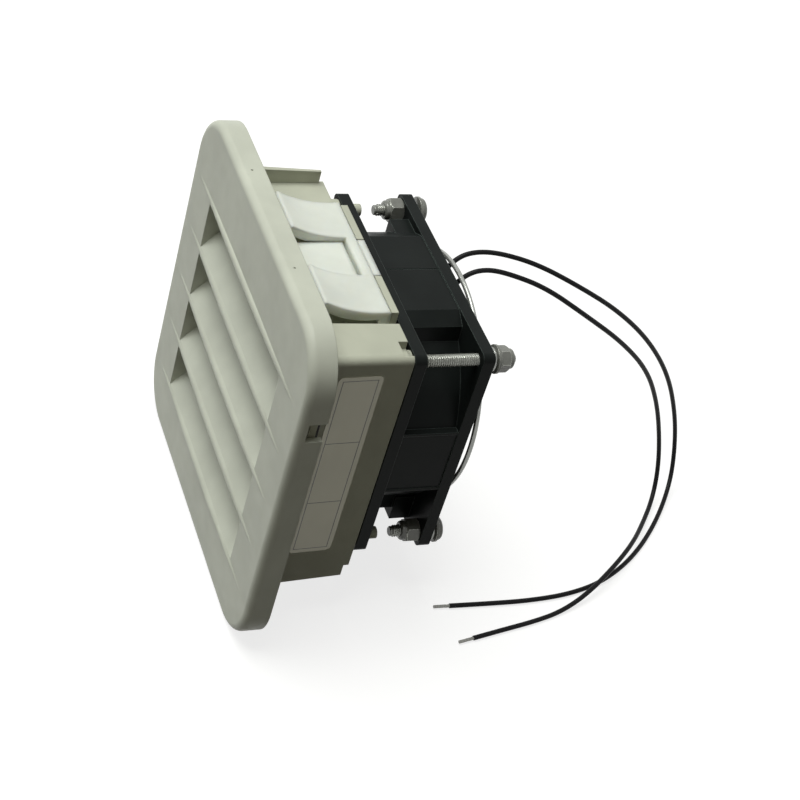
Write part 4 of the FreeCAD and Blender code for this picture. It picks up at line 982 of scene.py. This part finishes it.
@dataclass
class SupplyLeads(Assembly):
    """The two insulated leads and their tinned ends."""

    radius: float = 0.8 * MM
    ring_resolution: int = 5
    route_resolution: int = 8
    core_radius: float = 0.55 * MM
    core_length: float = 5.5 * MM
    strands: int = 7
    strand_corners: int = 4
    groove: float = 0.14
    twist: float = 2.2
    twist_cuts: int = 5
    side_slope: float = 0.5
    smooth_angle: float = 50.0
    lengths: dict[str, float] = field(default_factory=lambda: {"lead_a": 0.2978, "lead_b": 0.2785})

    def lead(self, name: str) -> Piece:
        """Builds one lead as a smooth curve through its route.

        Args:
            name: Node that the lead replaces.

        Returns:
            The lead.
        """
        route = LEAD_ROUTES[name]
        data = bpy.data.curves.new(name + "_wire", "CURVE")
        data.dimensions = "3D"
        data.bevel_depth = self.radius
        data.bevel_resolution = self.ring_resolution
        data.resolution_u = self.route_resolution
        data.use_fill_caps = True
        spline = data.splines.new("NURBS")
        spline.points.add(len(route) - 1)
        for point, place in zip(spline.points, route):
            point.co = (*(number * MM for number in place), 1)
        spline.order_u = 3
        spline.use_endpoint_u = True
        lead = bpy.data.objects.new(name + "_wire", data)
        bpy.context.scene.collection.objects.link(lead)
        return lead

    def tip(self, name: str) -> Piece:
        """Builds the twisted, tinned strands at the end of one lead.

        Args:
            name: Name of the lead.

        Returns:
            The tip.
        """
        before, last = (Vector(place) * MM for place in LEAD_ROUTES[name][-2:])
        way = (last - before).normalized()
        Workbench.deselect()
        bpy.ops.mesh.primitive_cylinder_add(vertices=self.strands * self.strand_corners,
                                            radius=self.core_radius, depth=self.core_length)
        tip = Workbench.settle(name + "_strands")
        for vertex in tip.data.vertices:
            angle = math.atan2(vertex.co.y, vertex.co.x)
            lobe = 1 - self.groove + self.groove * abs(math.cos(angle * self.strands / 2))
            vertex.co.x *= lobe
            vertex.co.y *= lobe
        Workbench.edit(tip, Element.FACE, lambda face: abs(face.normal.z) < self.side_slope)
        bpy.ops.mesh.subdivide(number_cuts=self.twist_cuts, quadcorner="STRAIGHT_CUT")
        Workbench.leave_edit()
        Workbench.apply(tip, "SIMPLE_DEFORM", deform_method="TWIST", deform_axis="Z", angle=self.twist)
        Workbench.smooth(tip, self.smooth_angle)
        turn = way.to_track_quat("Z", "Y").to_matrix().to_4x4()
        tip.data.transform(Matrix.Translation(last + way * (self.core_length / 2)) @ turn)
        return tip

    def build(self) -> None:
        for name, route in LEAD_ROUTES.items():
            tip = self.tip(name)
            self.hand_over(tip, Slot.TINNED, Body.HOUSING, name + "_end")
            lead = self.lead(name)
            self.hand_over(lead, Slot.LEAD, Body.HOUSING, name)
            tuple(number * MM for number in route[0])
            self.lengths[name]


@dataclass
class TurnedPart:
    """A part that is turned about an axis along Y."""

    name: str
    axis: Axis

    def at(self, along: float) -> Point:
        """Returns the point at a place along the axis."""
        return self.axis[0], along, self.axis[1]

    def build(self) -> Piece:
        """Builds the part.

        Returns:
            The part.
        """
        raise NotImplementedError


@dataclass
class ThreadedStem(TurnedPart):
    """A threaded stem with a chamfer at both ends, between its front and rear end."""

    start: float
    stop: float
    minor: float = 1.62 * MM
    major: float = 1.95 * MM
    pitch: float = 0.7 * MM
    sides: int = 28
    steps: int = 26
    chamfer: float = 0.25 * MM
    plain_turns: int = 3
    root_share: float = 0.98
    flank_gap: float = 0.012 * MM

    def build(self) -> Piece:
        """Builds a core with one closed tooth wound round it.

        Returns:
            The stem.
        """
        length = self.stop - self.start
        core = Workbench.rod(self.name, self.at((self.start + self.stop) / 2), self.minor, length, self.sides)
        Workbench.bevel(core, self.chamfer, segments=1)
        root = self.minor * self.root_share
        profile = ((root, self.flank_gap), (self.major, self.pitch / 2), (root, self.pitch - self.flank_gap))
        Workbench.deselect()
        bpy.ops.mesh.primitive_circle_add(vertices=len(profile))
        tooth = Workbench.settle(self.name + "_tooth")
        for vertex, (reach, along) in zip(tooth.data.vertices, profile):
            vertex.co = (reach, along, 0)
        turns = int((length - self.plain_turns * self.pitch) / self.pitch)
        Workbench.apply(tooth, "SCREW", axis="Y", steps=self.steps, render_steps=self.steps, iterations=turns,
                        screw_offset=self.pitch, use_smooth_shade=False, use_normal_calculate=True)
        tooth.data.transform(Matrix.Translation(self.at(self.start + self.pitch)))
        Workbench.edit_all(tooth)
        bpy.ops.mesh.fill_holes(sides=len(profile))
        bpy.ops.mesh.select_all(action="SELECT")
        bpy.ops.mesh.normals_make_consistent(inside=False)
        Workbench.leave_edit()
        return Workbench.join(self.name, [core, tooth])


@dataclass
class Hexagon(TurnedPart):
    """A hexagon whose corners are turned off at both ends, behind its front face."""

    front: float
    height: float
    turn: float = 0.0
    flats: float = 7.0 * MM
    corner_spare: float = 1.005
    chamfer: float = 0.55 * MM
    turned_sides: int = 64

    def build(self) -> Piece:
        """Builds a prism and keeps what it shares with a chamfered cylinder.

        Returns:
            The hexagon.
        """
        middle = self.at(self.front + self.height / 2)
        corner = self.flats / math.sqrt(3)
        prism = Workbench.rod(self.name, (0, 0, 0), corner, self.height, corners=6)
        prism.data.transform(Matrix.Translation(middle) @ Matrix.Rotation(self.turn, 4, "Y"))
        turned = Workbench.rod(self.name + "_turned", middle, corner * self.corner_spare, self.height,
                               self.turned_sides)
        Workbench.round_edges(turned, lambda edge: Workbench.across(turned, edge), self.chamfer, segments=1)
        return Workbench.carve(prism, turned, Combine.KEEP_COMMON)


@dataclass
class LockNut(TurnedPart):
    """A nut on a seat, with a rounded collar that holds a locking ring at its free end."""

    seat: float
    stop: float
    turn: float = 0.3
    collar_height: float = 1.6 * MM
    collar_radius: float = 3.1 * MM
    collar_sunk: float = 0.5 * MM
    collar_round: float = 0.8 * MM
    bore_radius: float = 2.08 * MM
    bore_length: float = 9.0 * MM
    bore_sides: int = 40
    edge: float = 0.08 * MM
    edge_angle: float = 40.0
    speck: float = 0.002 * MM

    def build(self) -> Piece:
        """Builds the hexagon and its collar, behind the seat or in front of it, and bores them.

        Returns:
            The nut.
        """
        stop = self.stop
        height = abs(stop - self.seat) - self.collar_height
        way = math.copysign(1, stop - self.seat)
        front = min(self.seat, self.seat + way * height)
        nut = Hexagon(self.name, self.axis, front, height, self.turn * way).build()
        start = self.seat + way * (height - self.collar_sunk)
        collar = Workbench.rod(self.name + "_collar", self.at((start + stop) / 2), self.collar_radius,
                               abs(stop - start))
        Workbench.round_edges(collar, lambda edge: Workbench.around(collar, edge, stop), self.collar_round,
                              segments=4)
        Workbench.carve(nut, collar, Combine.FUSE)
        bore = Workbench.rod(self.name + "_bore", self.at((self.seat + stop) / 2), self.bore_radius,
                             self.bore_length, self.bore_sides)
        Workbench.carve(nut, bore, Combine.CUT)
        Workbench.bevel(nut, self.edge, segments=1, angle=self.edge_angle)
        Workbench.edit_all(nut)
        bpy.ops.mesh.dissolve_degenerate(threshold=self.speck)
        Workbench.leave_edit()
        return nut


@dataclass
class Washer(TurnedPart):
    """A plain washer with softened edges, between its front and rear face."""

    front: float
    rear: float
    radius: float = 4.4 * MM
    sides: int = 56
    bore_radius: float = 2.12 * MM
    bore_length: float = 3.0 * MM
    bore_sides: int = 40
    edge: float = 0.14 * MM

    def build(self) -> Piece:
        """Builds a disc and bores it.

        Returns:
            The washer.
        """
        height = self.rear - self.front
        middle = self.at(self.front + height / 2)
        disc = Workbench.rod(self.name, middle, self.radius, height, self.sides)
        bore = Workbench.rod(self.name + "_bore", middle, self.bore_radius, self.bore_length, self.bore_sides)
        Workbench.carve(disc, bore, Combine.CUT)
        return Workbench.bevel(disc, self.edge)


@dataclass
class PanHead(TurnedPart):
    """A domed screw head with a cross recess, between its seat and its crown."""

    seat: float
    crown: float
    radius: float = 3.9 * MM
    sides: int = 56
    dome_share: float = 0.65
    dome_faces: int = 6
    slot_reach: float = 2.1 * MM
    slot_half: float = 0.45 * MM
    slot_share: float = 0.55
    slot_turn: float = 0.35

    def build(self) -> Piece:
        """Builds the dome and cuts the two slots of the recess.

        Returns:
            The head.
        """
        height = self.crown - self.seat
        head = Workbench.rod(self.name, self.at(self.seat + height / 2), self.radius, height, self.sides)
        Workbench.round_edges(head, lambda edge: Workbench.around(head, edge, self.crown),
                              self.dome_share * height, self.dome_faces)
        reach, wide, deep = self.slot_reach, self.slot_half, self.slot_share * height
        for turn in (self.slot_turn, self.slot_turn + math.pi / 2):
            slot = Workbench.block(self.name + "_slot", (-reach, -deep, -wide), (reach, deep, wide))
            slot.data.transform(Matrix.Translation(self.at(self.crown)) @ Matrix.Rotation(turn, 4, "Y"))
            Workbench.carve(head, slot, Combine.CUT)
        return head


@dataclass
class Fasteners(Assembly):
    """Threaded bolts and screws with locking nuts and washers at the fan's corners."""

    hole: float = 35.75 * MM
    head_height: float = 2.8 * MM
    sunk: float = 0.2 * MM
    smooth_angle: float = 30.0
    bolt_corners: tuple[tuple[int, int], ...] = ((1, 1), (-1, -1))
    screw_corners: tuple[tuple[int, int], ...] = ((-1, 1), (1, -1))

    def axes(self, corners: Sequence[tuple[int, int]]) -> list[Axis]:
        """Returns the axes of the holes at some corners of the fan."""
        return [(side * self.hole, level * self.hole) for side, level in corners]

    @staticmethod
    def ends(node: str) -> tuple[float, float]:
        """Returns the front and rear end of a CAD node along Y."""
        low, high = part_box(node)
        return low[1], high[1]

    def parts(self) -> dict[str, list[TurnedPart]]:
        """Places all the fasteners between the ends of the nodes that they stand for.

        Returns:
            The parts that stand for each node.
        """
        loops, washers_rear = self.ends("fan_bolt_washers")
        head_front, bolt_stop = self.ends("fan_bolts")
        bolt_start = head_front + self.head_height - self.sunk
        _, bolt_nut_stop = self.ends("fan_bolt_nuts")
        screw_tip, crown = self.ends("guard_screws")
        screw_stop = washers_rear + self.sunk
        screw_nut_stop, screw_nut_seat = self.ends("guard_screw_nuts")
        parts: defaultdict[str, list[TurnedPart]] = defaultdict(list)
        for axis in self.axes(self.bolt_corners):
            parts["fan_bolts"].append(Hexagon("bolt_head", axis, head_front, self.head_height))
            parts["fan_bolts"].append(ThreadedStem("bolt_stem", axis, bolt_start, bolt_stop))
            parts["fan_bolt_nuts"].append(LockNut("bolt_nut", axis, washers_rear, bolt_nut_stop))
            parts["fan_bolt_washers"].append(Washer("bolt_washer", axis, loops, washers_rear))
        for axis in self.axes(self.screw_corners):
            parts["guard_screws"].append(PanHead("screw_head", axis, washers_rear, crown))
            parts["guard_screws"].append(ThreadedStem("screw_stem", axis, screw_tip, screw_stop))
            parts["guard_screw_nuts"].append(LockNut("screw_nut", axis, screw_nut_seat, screw_nut_stop))
            parts["guard_screw_washers"].append(Washer("screw_washer", axis, loops, washers_rear))
        return parts

    def build(self) -> None:
        """Builds all the fasteners, one piece for each node."""
        for node, parts in self.parts().items():
            piece = Workbench.join(node + "_turned", [part.build() for part in parts])
            Workbench.smooth(piece, self.smooth_angle)
            self.hand_over(piece, Slot.ZINC, Body.HOUSING, node)


@dataclass
class FilterMat(Assembly):
    """The fleece mat behind the slats."""

    shrink: float = 0.35 * MM
    coarse_cuts: int = 6
    fine_cuts: int = 3
    rounding: float = 1.2 * MM
    merge: float = 0.02 * MM
    lump_size: float = 9.0 * MM
    lump_octaves: int = 3
    lump_height: float = 0.6 * MM
    smooth_angle: float = 80.0

    def build(self) -> None:
        """Builds the mat as a padded slab with an uneven, fibrous face."""
        low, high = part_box("filter_mat")
        rim = Vector((self.shrink,) * 3)
        mat = Workbench.block("fleece_mat", low + rim, high - rim)
        Workbench.edit_all(mat)
        bpy.ops.mesh.subdivide(number_cuts=self.coarse_cuts)
        Workbench.leave_edit()
        Workbench.bevel(mat, self.rounding, segments=3)
        Workbench.edit_all(mat)
        bpy.ops.mesh.remove_doubles(threshold=self.merge)
        bpy.ops.mesh.subdivide(number_cuts=self.fine_cuts)
        Workbench.leave_edit()
        lumps = bpy.data.textures.new("fleece_lumps", "CLOUDS")
        lumps.noise_scale = self.lump_size
        lumps.noise_depth = self.lump_octaves
        Workbench.apply(mat, "DISPLACE", texture=lumps, texture_coords="LOCAL", strength=self.lump_height,
                        mid_level=0.5)
        Workbench.smooth(mat, self.smooth_angle)
        self.hand_over(mat, Slot.FLEECE, Body.HOUSING, "filter_mat")


@dataclass
class PanelGasket(Assembly):
    """The foam strip that seals the flange against the panel."""

    corner: float = 13.8 * MM
    corner_faces: int = 12
    opening: float = 46.3 * MM
    opening_corner: float = 1.5 * MM
    opening_faces: int = 4
    past: float = 5.0 * MM
    edge: float = 0.35 * MM
    smooth_angle: float = 50.0

    @staticmethod
    def slab(name: str, low: Point, high: Point, corner: float, segments: int) -> Piece:
        """Builds a slab whose four edges along Y are rounded.

        Args:
            name: Name of the piece.
            low: Lowest corner in metres.
            high: Highest corner in metres.
            corner: Radius of the rounded edges.
            segments: Faces across each rounding.

        Returns:
            The slab.
        """
        slab = Workbench.block(name, low, high)
        Workbench.round_edges(slab, lambda edge: not Workbench.across(slab, edge), corner, segments)
        return slab

    def build(self) -> None:
        """Builds the strip as a rounded square ring."""
        low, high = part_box("panel_gasket")
        ring = self.slab("foam_strip", low, high, self.corner, self.corner_faces)
        inner = Vector((self.opening, self.past, self.opening))
        hollow = self.slab("foam_opening", -inner, inner, self.opening_corner, self.opening_faces)
        Workbench.carve(ring, hollow, Combine.CUT)
        Workbench.bevel(ring, self.edge, segments=3)
        Workbench.smooth(ring, self.smooth_angle)
        self.hand_over(ring, Slot.GASKET, Body.HOUSING, "panel_gasket")


@dataclass
class SlattedCover(Assembly):
    """The slatted cover, with the pry notch in its rim cut to its full depth."""

    notch_low: float = 28.99 * MM
    notch_high: float = 35.51 * MM
    notch_depth: float = 5.2 * MM
    rim: float = 2.0 * MM
    past: float = 0.3 * MM
    merge: float = 0.001 * MM

    def build(self) -> None:
        """Builds the cover from the CAD node's form."""
        _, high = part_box("cover_grille")
        Workbench.activate(frame["nodes"]["cover_grille"])
        bpy.ops.object.duplicate()
        cover = Workbench.settle("slatted_cover")
        Workbench.edit_all(cover)
        bpy.ops.mesh.remove_doubles(threshold=self.merge, use_sharp_edge_from_normals=True)
        Workbench.leave_edit()
        inner = (high[0] - self.rim - self.past, high[1] - self.notch_depth, self.notch_low)
        outer = (high[0] + self.past, high[1] + self.past, self.notch_high)
        Workbench.carve(cover, Workbench.block("notch_tool", inner, outer), Combine.CUT)
        self.hand_over(cover, Slot.COVER, Body.COVER, "cover_grille")


@dataclass
class CarriedNodes(Assembly):
    """CAD nodes that show as they are, with finished materials."""

    def build(self) -> None:
        """Gives every CAD node the material of its slot."""
        for row in frame["record"]["subparts"]:
            node = frame["nodes"][row["node"]]
            self.dress(node, Slot(row["material_slot"]))
            log.info("%s: %s", row["node"], row["material_slot"])


def main() -> None:
    """Builds the studio and every piece in order."""
    logging.basicConfig(level=logging.INFO, format="%(name)s %(message)s")
    materials = {slot: finish.material() for slot, finish in FINISHES.items()}
    Studio().build()
    for assembly in (CarriedNodes, SupplyLeads, Fasteners, FilterMat, PanelGasket, SlattedCover):
        assembly(materials).build()


if __name__ == "__main__":
    main()
